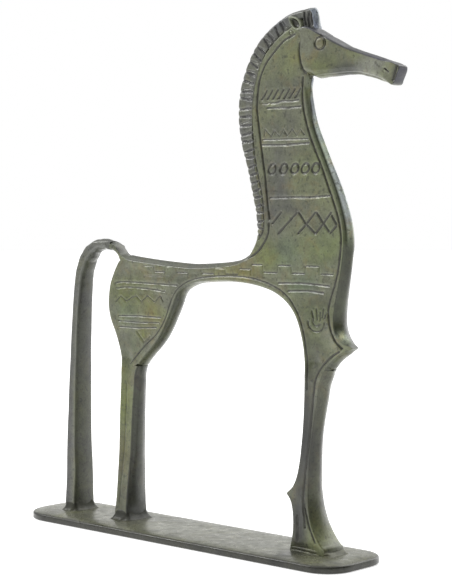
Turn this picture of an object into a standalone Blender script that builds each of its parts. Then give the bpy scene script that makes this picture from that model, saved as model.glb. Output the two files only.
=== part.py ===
"""Bronze horse on a flat base.

The body is one upright plate that holds the haunch, barrel, chest and neck. The hind leg, foreleg, tail,
mane, forelock and head are separate castings, tenoned or slotted into the plate and the base and brazed.
Sizes below are in millimetres and become metres when a mesh is made. +Z is up, +X points to the muzzle,
and the origin is the centre of the base's underside.
"""

import math

import bmesh
import bpy
import numpy as np
from mathutils import Vector
from mathutils.geometry import delaunay_2d_cdt

MM = 0.001
GAP = 0.3  # clearance between two pieces that touch
CURVE_STEP = 3.4  # spacing of points along a curved edge
GRID_STEP = 11.0  # spacing of points inside a plate's flat side
EDGE_CHAMFER = 0.6

BASE_LENGTH = 217.8
BASE_WIDTH = 45.8
BASE_CORNER = 18.8
BASE_TOP = 4.6
MORTISE_FLOOR = 1.5
TENON_END = MORTISE_FLOOR + GAP

PLATE_HALF = 4.15  # half thickness of the haunch, barrel and chest
NECK_HALF = 2.65  # half thickness of the neck behind the head
NECK_TAPER = (150.0, 196.0)  # heights between which the neck thins
CHEST_FLARE = 1.4  # how far the chest's front edge stands out on each side, at the spur
CHEST_FLARE_HEIGHTS = (142.0, 108.0)
CHEST_FLARE_REACH = 9.0
SPUR_POINT = (97.5, 104.8)  # along x, where the chest's spur narrows to its point
SPUR_TOP = 108.5
SPUR_TIP_HALF = 1.6
STUB_HALF = 3.4  # half width of the tail's stub on the rump
STUB_FLOOR = 141.0
STUB_BLEND = (-45.5, -49.0)  # along x, where the haunch narrows to the stub

HOCK = 85.3  # height of the joint between haunch and hind leg
ELBOW = 91.3  # height of the joint between chest and foreleg
SHANK_SECTIONS = (  # height, rear x, front x, half width
    (HOCK, -47.6, -37.0, 4.3),
    (78.0, -47.4, -38.4, 4.5),
    (60.0, -48.0, -39.6, 4.9),
    (40.0, -48.1, -40.4, 5.4),
    (20.0, -48.4, -41.6, 6.8),
    (10.5, -49.0, -41.4, 7.4),
    (BASE_TOP + GAP, -49.7, -40.9, 7.9),
)
SHANK_CORNER = 0.8
SHANK_TENON = 5.0  # half width of the tenon in the base

TAIL_PATH = (  # x, height, thickness along the bend, half width
    (-85.0, BASE_TOP + GAP, 7.0, 7.8),
    (-85.0, 11.0, 6.4, 7.2),
    (-84.9, 22.0, 5.8, 6.8),
    (-85.4, 40.0, 5.0, 6.3),
    (-85.0, 60.0, 4.3, 6.0),
    (-84.3, 80.0, 3.6, 5.8),
    (-83.4, 100.0, 3.1, 5.5),
    (-82.1, 120.0, 3.0, 5.1),
    (-80.2, 133.5, 3.5, 4.7),
    (-77.1, 140.4, 4.1, 4.5),
    (-73.2, 144.9, 4.4, 4.2),
    (-68.6, 147.4, 4.6, 3.9),
    (-62.8, 148.1, 4.6, 3.6),
    (-57.6, 147.6, 4.4, 3.4),
)
TAIL_CORNER = 0.7
TAIL_JOINT_X = -57.6

FILLET_HEIGHT = 2.6
FILLET_REACH = 2.6
FILLET_LIP = 0.6

MUZZLE_END = 130.9
HEAD_SECTIONS = (  # x, top, bottom, half width
    (73.2, 250.6, 235.2, 4.9),
    (74.3, 251.9, 232.4, 5.3),
    (77.0, 252.4, 228.2, 5.4),
    (81.0, 250.9, 227.7, 5.4),
    (87.0, 247.7, 228.0, 5.3),
    (93.0, 244.7, 228.1, 5.0),
    (100.0, 241.2, 228.4, 4.4),
    (108.0, 238.4, 228.2, 3.8),
    (116.5, 235.7, 226.1, 3.5),
    (123.0, 233.5, 223.8, 3.3),
    (127.6, 231.9, 222.0, 3.3),
    (MUZZLE_END, 230.3, 224.6, 2.9),
)
HEAD_CORNER = 1.9
CHEEK_HALF = HEAD_SECTIONS[4][3]  # half width of the head at the eyes
CHEEK_SLOT_START = (70.0, 224.0)  # behind and below the cheek
CHEEK_SLOT_END = 77.5
CHEEK_SLOT_ROOF = 250.2

EYE_CENTRE = (86.9, 243.5)
EYE_RADIUS = 2.3
EYE_SOCKET = 1.0  # depth of the round seat in the cheek
EYE_PROUD = 0.55
EYE_BEVEL = 0.35
SOCKET_OVERCUT = 3.0

EAR_CENTRE = (70.3, 255.8)
EAR_HALF_LENGTH = 4.4
EAR_HALF_WIDTH = 2.5
EAR_TILT = math.radians(-38.0)
EAR_THICK = 1.9
EAR_STAND = 0.35  # extra space between the ear and the crest
EAR_LEVELS = (  # share of the thickness from the back, share of the leaf's size
    (0.0, 0.92),
    (0.74, 1.0),
    (1.0, 0.86),
    (0.9, 0.66),
    (0.42, 0.4),
)


def material(name, colour, roughness):
    """A Principled material for patinated bronze."""
    made = bpy.data.materials.new(name)
    made.use_nodes = True
    shader = made.node_tree.nodes["Principled BSDF"]
    shader.inputs["Base Color"].default_value = (*colour, 1.0)
    shader.inputs["Roughness"].default_value = roughness
    shader.inputs["Metallic"].default_value = 0.6
    made.diffuse_color = (*colour, 1.0)
    return made


def remove_everything():
    for thing in list(bpy.data.objects):
        bpy.data.objects.remove(thing, do_unlink=True)


def body(name, points, faces, finish=None):
    """An object from points in millimetres, with its faces turned outwards."""
    mesh = bpy.data.meshes.new(name)
    mesh.from_pydata([tuple(MM * value for value in point) for point in points], [], faces)
    work = bmesh.new()
    work.from_mesh(mesh)
    bmesh.ops.recalc_face_normals(work, faces=work.faces)
    work.to_mesh(mesh)
    work.free()
    made = bpy.data.objects.new(name, mesh)
    bpy.context.scene.collection.objects.link(made)
    if finish:
        mesh.materials.append(finish)
        mesh.shade_smooth()
        mesh.set_sharp_from_angle(angle=math.radians(28))
    return made


def smooth_run(points, step=CURVE_STEP):
    """Points along a Catmull-Rom curve through the given ones, both ends included."""
    knots = [np.array(point, float) for point in points]
    knots = [2 * knots[0] - knots[1], *knots, 2 * knots[-1] - knots[-2]]
    run = [knots[1]]
    for before, start, end, after in zip(knots, knots[1:], knots[2:], knots[3:]):
        count = max(1, round(float(np.linalg.norm(end - start)) / step))
        for t in np.arange(1, count + 1) / count:
            run.append(
                0.5
                * (
                    2 * start
                    + (end - before) * t
                    + (2 * before - 5 * start + 4 * end - after) * t**2
                    + (3 * start - before - 3 * end + after) * t**3
                )
            )
    return [tuple(float(value) for value in point) for point in run]


def closed_outline(*runs):
    """One loop from runs that follow each other, with shared end points kept once."""
    loop = []
    for run in runs:
        for point in run:
            if not loop or math.dist(loop[-1], point) > 0.05:
                loop.append(tuple(point))
    if math.dist(loop[0], loop[-1]) < 0.05:
        loop.pop()
    return loop


def inset(loop, distance):
    """The loop moved inwards along the bisector of each corner."""
    points = np.array(loop)
    area = np.sum(points[:, 0] * np.roll(points[:, 1], -1) - np.roll(points[:, 0], -1) * points[:, 1])
    turn = 1.0 if area > 0 else -1.0
    ahead = np.roll(points, -1, axis=0) - points
    ahead /= np.linalg.norm(ahead, axis=1)[:, None]
    inward = turn * np.stack([-ahead[:, 1], ahead[:, 0]], 1)
    bisector = inward + np.roll(inward, 1, axis=0)
    bisector /= np.linalg.norm(bisector, axis=1)[:, None]
    stretch = 1.0 / np.maximum(np.sum(bisector * inward, axis=1), 0.5)
    return points + distance * bisector * stretch[:, None]


def beside(run, distance):
    """An open run moved to its left by the distance."""
    points = np.array(run)
    ahead = np.gradient(points, axis=0)
    ahead /= np.linalg.norm(ahead, axis=1)[:, None]
    moved = points + distance * np.stack([-ahead[:, 1], ahead[:, 0]], 1)
    return [(float(x), float(z)) for x, z in moved]


def inside_points(loop, step):
    """Grid points inside the loop and at least half a step from it."""
    points = np.array(loop)
    low = points.min(axis=0)
    high = points.max(axis=0)
    following = np.roll(points, -1, axis=0)
    along = following - points
    found = []
    for x in np.arange(low[0] + step / 2, high[0], step):
        for z in np.arange(low[1] + step / 2, high[1], step):
            spot = np.array((x, z))
            share = np.clip(np.sum((spot - points) * along, 1) / np.sum(along**2, 1), 0, 1)
            near = np.linalg.norm(points + share[:, None] * along - spot, axis=1).min()
            crossing = (points[:, 1] > z) != (following[:, 1] > z)
            height = (z - points[:, 1]) / np.where(crossing, along[:, 1], 1.0)
            left = np.count_nonzero(crossing & (points[:, 0] + height * along[:, 0] > x))
            if left % 2 and near > step / 2:
                found.append((float(x), float(z)))
    return found


def plate(name, loop, half, finish, chamfer=EDGE_CHAMFER):
    """An upright plate with the given side outline and half thickness, chamfered all round both sides."""
    count = len(loop)
    inner = [tuple(point) for point in inset(loop, chamfer)]
    flat = [Vector(point) for point in inner + inside_points(inner, GRID_STEP)]
    ring = [(index, (index + 1) % count) for index in range(count)]
    spots, _, triangles, origin, _, _ = delaunay_2d_cdt(flat, ring, [], 1, 1e-5)
    place = {sources[0]: index for index, sources in enumerate(origin) if sources}
    side = [(spot.x, spot.y) for spot in spots]
    points = []
    faces = []
    for sign in (-1, 1):
        first = len(points)
        points += [(x, sign * half(x, z), z) for x, z in side]
        faces += [[first + corner for corner in face] for face in triangles]
        rim = len(points)
        points += [(x, sign * (half(x, z) - chamfer), z) for x, z in loop]
        for start, end in ring:
            faces.append([first + place[start], first + place[end], rim + end, rim + start])
    near_rim = len(side)
    far_rim = near_rim + count + len(side)
    for start, end in ring:
        faces.append([near_rim + start, near_rim + end, far_rim + end, far_rim + start])
    return body(name, points, faces, finish)


def loft(name, rings, finish, ring_shaped=False):
    """A body through rings of equal length: closed by two end faces, or joined last to first."""
    size = len(rings[0])
    points = [point for ring in rings for point in ring]
    pairs = list(zip(range(len(rings)), range(1, len(rings))))
    if ring_shaped:
        pairs.append((len(rings) - 1, 0))
    faces = []
    for lower, upper in pairs:
        for index in range(size):
            following = (index + 1) % size
            near = lower * size
            far = upper * size
            faces.append([near + index, near + following, far + following, far + index])
    if not ring_shaped:
        faces.append(list(range(size)))
        faces.append(list(range(len(points) - size, len(points))))
    return body(name, points, faces, finish)


def rounded_corners(corners, radius, steps=3):
    """A closed outline with an arc in place of each corner. The corners run anticlockwise."""
    outline = []
    count = len(corners)
    for index, corner in enumerate(corners):
        here = Vector(corner)
        back = (Vector(corners[index - 1]) - here).normalized()
        on = (Vector(corners[(index + 1) % count]) - here).normalized()
        half_angle = back.angle(on) / 2
        centre = here + (back + on).normalized() * radius / math.sin(half_angle)
        start = here + back * radius / math.tan(half_angle) - centre
        sweep = math.pi - 2 * half_angle
        for step in range(steps):
            angle = sweep * step / (steps - 1)
            turned = Vector(
                (
                    start.x * math.cos(angle) - start.y * math.sin(angle),
                    start.x * math.sin(angle) + start.y * math.cos(angle),
                )
            )
            outline.append(tuple(centre + turned))
    return outline


def leg_ring(rear, front, rear_half, front_half, height, radius, grow=0.0):
    """A level ring round a leg: a four-sided section with rounded corners, grown outwards by grow."""
    corners = [
        (rear - grow, -rear_half - grow),
        (front + grow, -front_half - grow),
        (front + grow, front_half + grow),
        (rear - grow, rear_half + grow),
    ]
    return [(x, y, height) for x, y in rounded_corners(corners, radius)]


def helper_box(name, low, high):
    """A hidden box that a Boolean uses."""
    corners = [(x, y, z) for x in (low[0], high[0]) for y in (low[1], high[1]) for z in (low[2], high[2])]
    faces = [(0, 1, 3, 2), (4, 6, 7, 5), (0, 4, 5, 1), (2, 3, 7, 6), (0, 2, 6, 4), (1, 5, 7, 3)]
    made = body(name, corners, faces)
    made.hide_render = True
    made.display_type = "WIRE"
    return made


def helper_disc(name, centre, radius, y_low, y_high):
    """A hidden disc across the head that a Boolean uses."""
    sides = 24
    rings = []
    for y in (y_low, y_high):
        turns = [2 * math.pi * index / sides for index in range(sides)]
        ring = [(centre[0] + radius * math.cos(a), y, centre[1] + radius * math.sin(a)) for a in turns]
        rings.append(ring)
    made = loft(name, rings, None)
    made.hide_render = True
    made.display_type = "WIRE"
    return made


def combine(target, helper, operation):
    change = target.modifiers.new(helper.name, "BOOLEAN")
    change.operation = operation
    change.object = helper


def add_tenon(target, name, low, high):
    combine(target, helper_box(name, low, high), "UNION")


def cut_mortise(target, name, low, high):
    """A pocket that leaves the clearance round a tenon of the given size."""
    low = tuple(value - GAP for value in low)
    high = tuple(value + GAP for value in high)
    combine(target, helper_box(name, low, high), "DIFFERENCE")


def blend_between(value, start, end):
    """0 at start, 1 at end, smooth between."""
    share = min(max((value - start) / (end - start), 0.0), 1.0)
    return share * share * (3 - 2 * share)


# ---- the plate that holds haunch, barrel, chest and neck

HAUNCH_REAR = smooth_run(
    [(-47.6, HOCK + GAP), (-48.4, 93.0), (-51.6, 101.5), (-55.6, 109.5), (-57.1, 118.0), (-55.7, 126.5)]
    + [(-52.0, 134.5), (-48.5, 140.0)]
)
TAIL_STUB = smooth_run([(-48.5, 140.0), (-50.6, 142.9), (-53.6, 144.8), (-57.0, 145.5)])
BACK = smooth_run(
    [(-57.3, 149.8), (-53.8, 148.2), (-50.4, 144.4), (-45.8, 141.8), (-34.1, 140.3), (-14.0, 138.7)]
    + [(6.0, 138.0), (30.0, 139.6), (40.0, 142.3), (45.2, 147.2), (47.4, 152.2), (47.5, 156.7)]
)
MANE_SEAM = smooth_run(
    [(49.9, 156.7), (50.1, 162.5), (48.6, 171.5), (44.3, 189.0), (42.9, 206.0), (44.2, 224.0)]
    + [(50.6, 240.2), (60.9, 250.0), (71.2, 254.4)]
)
NECK_TONGUE = [(72.9, 254.7), (72.9, 249.9), (77.2, 249.9), (77.2, 229.0)]
NECK_FRONT = smooth_run(
    [(77.0, 225.5), (77.4, 218.0), (80.5, 205.0), (87.4, 190.0), (96.4, 171.5), (100.6, 157.0)]
    + [(99.3, 140.0), (95.9, 121.0), (95.7, 112.0), (98.8, 106.6), (104.8, 102.4)]
)
SPUR_UNDERSIDE = smooth_run([(104.8, 102.4), (100.8, 100.0), (96.9, 97.6), (93.1, 94.6), (90.1, ELBOW)])
BELLY = smooth_run(
    [(77.4, ELBOW), (76.1, 103.5), (71.1, 116.6), (61.8, 124.8), (48.0, 129.2), (30.0, 130.9)]
    + [(12.0, 130.2), (2.0, 128.6), (-6.6, 124.0), (-11.6, 114.5), (-21.2, 99.3), (-36.3, HOCK + GAP)]
)


def neck_half(height):
    return PLATE_HALF + (NECK_HALF - PLATE_HALF) * blend_between(height, *NECK_TAPER)


def body_half(x, height):
    """Half thickness of the body plate, with the flared edge down the chest."""
    rising = NECK_FRONT[::-1]
    front = np.interp(height, [point[1] for point in rising], [point[0] for point in rising])
    reach = blend_between(x, front - CHEST_FLARE_REACH, front)
    drop = blend_between(height, *CHEST_FLARE_HEIGHTS)
    half = neck_half(height) + CHEST_FLARE * reach * drop
    point = blend_between(x, *SPUR_POINT) if height < SPUR_TOP else 0.0
    half += (SPUR_TIP_HALF - half) * point
    root = blend_between(x, *STUB_BLEND) if height > STUB_FLOOR else 0.0
    return half + (STUB_HALF - half) * root


def make_body_plate(finish):
    loop = closed_outline(
        HAUNCH_REAR, TAIL_STUB, BACK, MANE_SEAM, NECK_TONGUE, NECK_FRONT, SPUR_UNDERSIDE, BELLY
    )
    made = plate("body_plate", loop, body_half, finish)
    cut_mortise(made, "hock_mortise", *HOCK_TENON)
    cut_mortise(made, "elbow_mortise", *ELBOW_TENON)
    cut_mortise(made, "tail_mortise", *TAIL_TENON)
    return made


# ---- legs

HOCK_TENON = ((-45.5, -2.2, HOCK - 2.0), (-41.0, 2.2, HOCK + 8.0))
ELBOW_TENON = ((79.5, -2.2, 89.0), (84.0, 2.2, 98.0))
TAIL_TENON = ((TAIL_JOINT_X - 1.0, -2.4, 146.7), (TAIL_JOINT_X + 5.0, 2.4, 148.2))
SHANK_FOOT_TENON = ((-47.4, -SHANK_TENON, TENON_END), (-43.4, SHANK_TENON, BASE_TOP + 2.0))
TAIL_FOOT_TENON = ((-87.2, -5.0, TENON_END), (-83.2, 5.0, BASE_TOP + 2.0))
FORE_FOOT_TENON = ((73.5, -3.4, TENON_END), (83.5, 3.4, BASE_TOP + 2.0))

FORELEG_REAR = smooth_run(
    [(77.4, ELBOW - GAP), (77.5, 82.0), (76.7, 67.0), (75.1, 50.0), (72.9, 40.0), (70.0, 34.6), (66.3, 31.2)]
)
FETLOCK = smooth_run([(66.3, 31.2), (69.4, 27.0), (71.0, 21.0), (71.4, 14.0), (70.6, 8.6)])
FORE_HEEL = (69.4, BASE_TOP + GAP)
FORE_TOE = (93.8, BASE_TOP + GAP)
FORELEG_FRONT = smooth_run(
    [(91.0, 7.4), (87.0, 11.4), (82.8, 18.5), (80.2, 29.0), (80.0, 42.0), (81.1, 58.0), (83.9, 74.0)]
    + [(86.8, 84.5), (89.9, ELBOW - GAP)]
)


FORE_REAR_HALVES = ((8.0, 5.6), (24.0, 4.6), (45.0, PLATE_HALF))  # height, half width of the rear edge
FORE_FRONT_HALVES = ((8.0, 7.4), (20.0, 6.9), (40.0, 5.5), (62.0, 4.25), (78.0, 4.5), (92.0, 5.4))
FORE_WEDGE = (72.0, 82.0)  # along x, where the leg widens from its rear to its front
KNEE_WEDGE = (72.0, 90.0)  # the same above the knee, where the leg is deeper
KNEE = 84.0


def width_at(height, table):
    return np.interp(height, [row[0] for row in table], [row[1] for row in table])


def foreleg_half(x, height):
    """The foreleg is a wedge: its front edge is wider than its rear, and both spread at the foot."""
    rear_half = width_at(height, FORE_REAR_HALVES)
    front_half = width_at(height, FORE_FRONT_HALVES)
    share = blend_between(x, *(KNEE_WEDGE if height > KNEE else FORE_WEDGE))
    return float(rear_half + (front_half - rear_half) * share)


def make_foreleg(finish):
    loop = closed_outline(FORELEG_REAR, FETLOCK, [FORE_HEEL, FORE_TOE], FORELEG_FRONT)
    made = plate("foreleg", loop, foreleg_half, finish, chamfer=0.8)
    add_tenon(made, "elbow_tenon", *ELBOW_TENON)
    add_tenon(made, "fore_foot_tenon", *FORE_FOOT_TENON)
    return made


def make_hind_leg(finish):
    rings = []
    for height, rear, front, half in SHANK_SECTIONS:
        rings.append(leg_ring(rear, front, half, half, height, SHANK_CORNER))
    made = loft("hind_leg", rings, finish)
    add_tenon(made, "hock_tenon", *HOCK_TENON)
    add_tenon(made, "hind_foot_tenon", *SHANK_FOOT_TENON)
    return made


# ---- tail

def make_tail(finish):
    """A flat bar that rises from the base, thins upwards and arches over to the stub on the rump."""
    path = np.array(smooth_run([point[:2] for point in TAIL_PATH], 6.0))
    heights = np.cumsum([0.0, *np.linalg.norm(np.diff(path, axis=0), axis=1)])
    knots = [
        heights[int(np.argmin(np.linalg.norm(path - np.array(point[:2]), axis=1)))] for point in TAIL_PATH
    ]
    ahead = np.gradient(path, axis=0)
    ahead /= np.linalg.norm(ahead, axis=1)[:, None]
    ahead[0] = (0.0, 1.0)
    rings = []
    for (x, z), run, (dx, dz) in zip(path, heights, ahead):
        thick = np.interp(run, knots, [point[2] for point in TAIL_PATH]) / 2
        half = np.interp(run, knots, [point[3] for point in TAIL_PATH])
        corners = [(-thick, -half), (thick, -half), (thick, half), (-thick, half)]
        section = rounded_corners(corners, TAIL_CORNER)
        rings.append([(x + dz * across, y, z - dx * across) for across, y in section])
    made = loft("tail", rings, finish)
    add_tenon(made, "tail_tenon", *TAIL_TENON)
    add_tenon(made, "tail_foot_tenon", *TAIL_FOOT_TENON)
    return made


# ---- braze round the feet

def make_foot_fillet(name, low, high, finish):
    """A bead of braze round a foot. low and high are the foot's sections at the bead's two heights."""
    floor = BASE_TOP + GAP
    crest = floor + FILLET_HEIGHT
    rings = [
        leg_ring(*low, floor, 1.6, GAP),
        leg_ring(*low, floor, 3.0, GAP + FILLET_REACH),
        leg_ring(*high, floor + 0.4 * FILLET_HEIGHT, 2.4, GAP + 0.5 * FILLET_REACH + 0.3),
        leg_ring(*high, crest, 1.6, GAP + FILLET_LIP),
        leg_ring(*high, crest, 1.2, GAP),
    ]
    return loft(name, rings, finish, ring_shaped=True)


# ---- head

def make_head(finish):
    rings = []
    for x, top, bottom, half in HEAD_SECTIONS:
        radius = min(HEAD_CORNER, 0.8 * half)
        section = rounded_corners([(-half, bottom), (half, bottom), (half, top), (-half, top)], radius, 4)
        rings.append([(x, y, z) for y, z in section])
    made = loft("head", rings, finish)
    slot = NECK_HALF + GAP
    low = (CHEEK_SLOT_START[0], -slot, CHEEK_SLOT_START[1])
    high = (CHEEK_SLOT_END, slot, CHEEK_SLOT_ROOF)
    combine(made, helper_box("cheek_slot", low, high), "DIFFERENCE")
    for side, name in ((-1, "right_socket"), (1, "left_socket")):
        seat = sorted((side * (CHEEK_HALF - EYE_SOCKET), side * (CHEEK_HALF + SOCKET_OVERCUT)))
        combine(made, helper_disc(name, EYE_CENTRE, EYE_RADIUS + GAP, *seat), "DIFFERENCE")
    return made


def make_eye(name, side, finish):
    """A low domed stud in the socket. side is -1 for the right eye and 1 for the left."""
    seat = CHEEK_HALF - EYE_SOCKET + GAP
    proud = CHEEK_HALF + EYE_PROUD
    sides = 24
    turns = [2 * math.pi * index / sides for index in range(sides)]
    rings = []
    for depth, radius in ((seat, EYE_RADIUS), (proud - EYE_BEVEL, EYE_RADIUS), (proud, 0.7 * EYE_RADIUS)):
        ring = []
        for turn in turns:
            x = EYE_CENTRE[0] + radius * math.cos(turn)
            z = EYE_CENTRE[1] + radius * math.sin(turn)
            ring.append((x, side * depth, z))
        rings.append(ring)
    return loft(name, rings, finish)


def make_ear(name, side, finish):
    """A leaf-shaped ear with a hollow, lying against the side of the crest."""
    inner = NECK_HALF + EAR_STAND + GAP
    sides = 20
    rings = []
    for level, share in EAR_LEVELS:
        depth = inner + level * EAR_THICK
        ring = []
        for index in range(sides):
            turn = 2 * math.pi * index / sides
            along = share * EAR_HALF_LENGTH * math.cos(turn)
            across = share * EAR_HALF_WIDTH * math.sin(turn)
            ring.append(
                (
                    EAR_CENTRE[0] + along * math.cos(EAR_TILT) - across * math.sin(EAR_TILT),
                    side * depth,
                    EAR_CENTRE[1] + along * math.sin(EAR_TILT) + across * math.cos(EAR_TILT),
                )
            )
        rings.append(ring)
    return loft(name, rings, finish)


# ---- mane and forelock

def make_mane(finish):
    """The crest along the back of the neck, from the withers to the forelock."""
    outer = smooth_run(
        [(47.4, 156.7 + GAP), (46.5, 164.5), (43.9, 173.5), (39.8, 187.0), (36.4, 197.0), (34.1, 210.5)]
        + [(35.4, 225.0), (41.5, 239.6), (49.4, 249.4), (59.3, 256.0), (67.0, 259.2), (74.6, 260.5)]
    )
    seam = beside(MANE_SEAM, GAP)
    seam[0] = (seam[0][0], outer[0][1])
    loop = closed_outline(outer, [(74.6, 255.1), (72.4, 255.1)], reversed(seam))
    return plate("mane", loop, lambda x, height: neck_half(height) + 0.1, finish, chamfer=0.6)


def make_forelock(finish):
    crown = [(74.9, 260.6), (77.6, 260.8), (79.3, 260.2)]
    brow = [(80.2, 258.2), (81.4, 253.6), (82.0, 251.4)]
    top = smooth_run(crown + brow)
    loop = closed_outline(top, [(74.9, 253.0)])
    return plate("forelock", loop, lambda x, height: 2.9, finish, chamfer=0.6)


# ---- base

def make_base(finish):
    """A flat plate with rounded ends, a soft edge and a slightly crowned top."""
    steps = ((0.0, 0.5), (0.6, 0.0), (2.7, 0.0), (3.4, 0.6), (3.9, 2.6), (BASE_TOP, 8.5))
    rings = []
    for height, margin in steps:
        x = BASE_LENGTH / 2 - margin
        y = BASE_WIDTH / 2 - margin
        corners = [(-x, -y), (x, -y), (x, y), (-x, y)]
        rings.append([(a, b, height) for a, b in rounded_corners(corners, BASE_CORNER - margin, 8)])
    made = loft("base_plate", rings, finish)
    for name, tenon in (
        ("hind_foot_mortise", SHANK_FOOT_TENON),
        ("tail_foot_mortise", TAIL_FOOT_TENON),
        ("fore_foot_mortise", FORE_FOOT_TENON),
    ):
        cut_mortise(made, name, *tenon)
    return made


def main():
    remove_everything()
    patina = material("green_patina", (0.20, 0.21, 0.125), 0.5)
    dark = material("dark_patina", (0.10, 0.10, 0.085), 0.45)
    pale = material("base_patina", (0.27, 0.275, 0.24), 0.45)
    braze = material("braze_patina", (0.15, 0.15, 0.09), 0.5)
    make_base(pale)
    make_body_plate(patina)
    make_hind_leg(patina)
    make_foreleg(patina)
    make_tail(dark)
    make_head(patina)
    make_mane(dark)
    make_forelock(dark)
    for side, name in ((-1, "right"), (1, "left")):
        make_ear("ear_" + name, side, patina)
        make_eye("eye_" + name, side, patina)
    _, rear, front, half = SHANK_SECTIONS[-1]
    make_foot_fillet("hind_foot_fillet", (rear, front, half, half), (rear, front, half, half), braze)
    tail_x, _, thick, half = TAIL_PATH[0]
    section = (tail_x - thick / 2, tail_x + thick / 2, half, half)
    make_foot_fillet("tail_foot_fillet", section, section, braze)
    heel_half = foreleg_half(FORE_HEEL[0], BASE_TOP)
    toe_half = foreleg_half(FORE_TOE[0], BASE_TOP)
    low = (FORE_HEEL[0], FORE_TOE[0], heel_half, toe_half)
    high = (FORE_HEEL[0] + 0.3, FORELEG_FRONT[0][0] + 0.2, heel_half, toe_half)
    make_foot_fillet("fore_foot_fillet", low, high, braze)


main()
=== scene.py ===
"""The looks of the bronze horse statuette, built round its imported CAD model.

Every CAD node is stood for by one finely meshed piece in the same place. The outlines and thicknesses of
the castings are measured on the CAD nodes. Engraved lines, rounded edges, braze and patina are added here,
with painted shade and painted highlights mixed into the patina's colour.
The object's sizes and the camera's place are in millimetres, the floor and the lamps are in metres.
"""

import math

import bpy
import numpy as np
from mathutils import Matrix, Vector
from mathutils.bvhtree import BVHTree
from mathutils.geometry import delaunay_2d_cdt
from mathutils.kdtree import KDTree


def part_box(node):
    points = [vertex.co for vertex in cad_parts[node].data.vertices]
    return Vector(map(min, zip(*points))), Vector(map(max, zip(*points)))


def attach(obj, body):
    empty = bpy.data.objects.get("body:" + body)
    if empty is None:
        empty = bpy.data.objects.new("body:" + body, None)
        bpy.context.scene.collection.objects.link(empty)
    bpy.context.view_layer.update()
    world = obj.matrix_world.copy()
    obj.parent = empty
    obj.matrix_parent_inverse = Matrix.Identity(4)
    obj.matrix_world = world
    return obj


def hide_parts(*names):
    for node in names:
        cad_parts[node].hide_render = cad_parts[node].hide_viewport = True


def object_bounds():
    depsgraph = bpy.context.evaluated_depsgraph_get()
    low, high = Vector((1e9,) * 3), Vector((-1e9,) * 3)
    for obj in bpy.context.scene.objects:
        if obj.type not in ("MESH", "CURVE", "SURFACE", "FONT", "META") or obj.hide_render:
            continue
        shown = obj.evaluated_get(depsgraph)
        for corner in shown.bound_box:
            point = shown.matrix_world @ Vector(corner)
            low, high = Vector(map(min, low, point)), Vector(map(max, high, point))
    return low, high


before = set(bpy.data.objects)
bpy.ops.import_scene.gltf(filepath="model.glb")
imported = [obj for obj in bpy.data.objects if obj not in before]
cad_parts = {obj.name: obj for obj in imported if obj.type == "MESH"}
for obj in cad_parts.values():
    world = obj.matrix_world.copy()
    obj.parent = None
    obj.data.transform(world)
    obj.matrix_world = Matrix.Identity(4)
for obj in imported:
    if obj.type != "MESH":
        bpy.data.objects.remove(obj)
CAD_BOX = [list(corner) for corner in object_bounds()]

MM = 0.001
FAR = 500.0  # outside the object: where a measuring ray starts, and the gap to a line that isn't there

RIM_STEP = 0.6  # spacing of points along a casting's outline
FINE_STEP = 0.32  # spacing of points in and beside an engraved line
FINE_REACH = 0.42  # how far beside a line they go
COARSE_STEP = 1.15  # spacing of points elsewhere on a side
CORNER_ANGLE = math.radians(35)
SEAM_REACH = 0.9  # an outline that faces a neighbouring piece this near is a joint and stays square
UNEVENNESS = 0.3  # depth of the hollows left on the sides by hand finishing
LIP_WIDTH = 0.9  # raised border of an engraved line
LIP_HEIGHT = 0.18
LIP_RELIEF = 0.3  # how far a lip is rubbed, where 1 is fully
WEAR_REACH = 0.8  # how far rubbed corners fade out over a side
FULL_DEPTH = 0.5  # depth at which an engraved line holds the darkest patina
JOINT_FILL = 0.16  # half the clearance between two pieces that touch
SEAM_CLEAR = 2.6  # no outline points on a joint this near its ends
SEAM_FADE = 3.0  # the outline's growth up or down fades in over this distance from a joint
SEAM_START = 0.1  # how far inside a casting a ray that looks for its neighbour starts
FACE_ROWS = (0.0, 0.25, 0.5, 0.75, 0.92, 1.0)  # shares of the way from mid-thickness to an edge
CORNER_ROWS = (22.5, 45.0, 67.5, 90.0)  # degrees round the corner between edge face and side
CREASE = 62.0  # edges that fold by more degrees than this are shaded sharp


# ---- places on the horse, in its side view: x grows forwards and z up

BETWEEN_PAIRS = 0.0  # an x between the hind leg and the foreleg
BETWEEN_LEGS = -65.0  # an x between the tail and the hind leg
ROOT_DEPTH = 1.6  # how far a leg's casting reaches down into the base
HOCK = 85.3  # top of the hind leg, below its tenon
ELBOW = 91.3  # top of the foreleg, below its tenon
LEG_JOINTS = ((HOCK, -60.0, -25.0), (ELBOW, 65.0, 100.0))  # height, and where it starts and ends along x
JOINT_REACH = 3.0  # how far above and below a joint the thickness is evened out
TAIL_JOINT = -57.4  # where the tail meets its stub on the rump
ARCH_CENTRE = (-66.0, 131.0)  # middle of the tail's arch
FORELOCK_ROOT = 253.2  # height of its root
CHEEK = (  # the rear edge of the head, from the jaw up
    (81.3, 228.9), (78.7, 229.7), (76.2, 231.6), (74.6, 234.2), (73.6, 237.2), (73.0, 241.0), (73.2, 245.0),
)
MUZZLE_DROP = (  # from the foremost point of the muzzle down its sloping end, as (back, down)
    (0.8, -0.6), (0.2, 0.0), (0.0, 0.9), (0.2, 1.9), (1.7, 5.2), (2.4, 6.8), (3.1, 7.7), (4.0, 8.2),
)
MANE_LINE = (  # the inner ends of the cuts across the mane
    (48.1, 152.2), (50.1, 154.6), (51.2, 158.0), (51.0, 163.3), (50.4, 169.1), (49.2, 175.0), (47.4, 181.0),
    (45.6, 187.0), (43.8, 196.1), (42.4, 207.8), (42.2, 216.0), (42.9, 223.6), (44.2, 230.5), (46.2, 234.6),
    (48.7, 238.2), (51.4, 241.6), (54.2, 244.3), (57.4, 247.2), (60.6, 249.3), (63.8, 251.2), (67.1, 252.6),
)
MANE_SPACING = 3.95  # between the cuts across the mane
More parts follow.
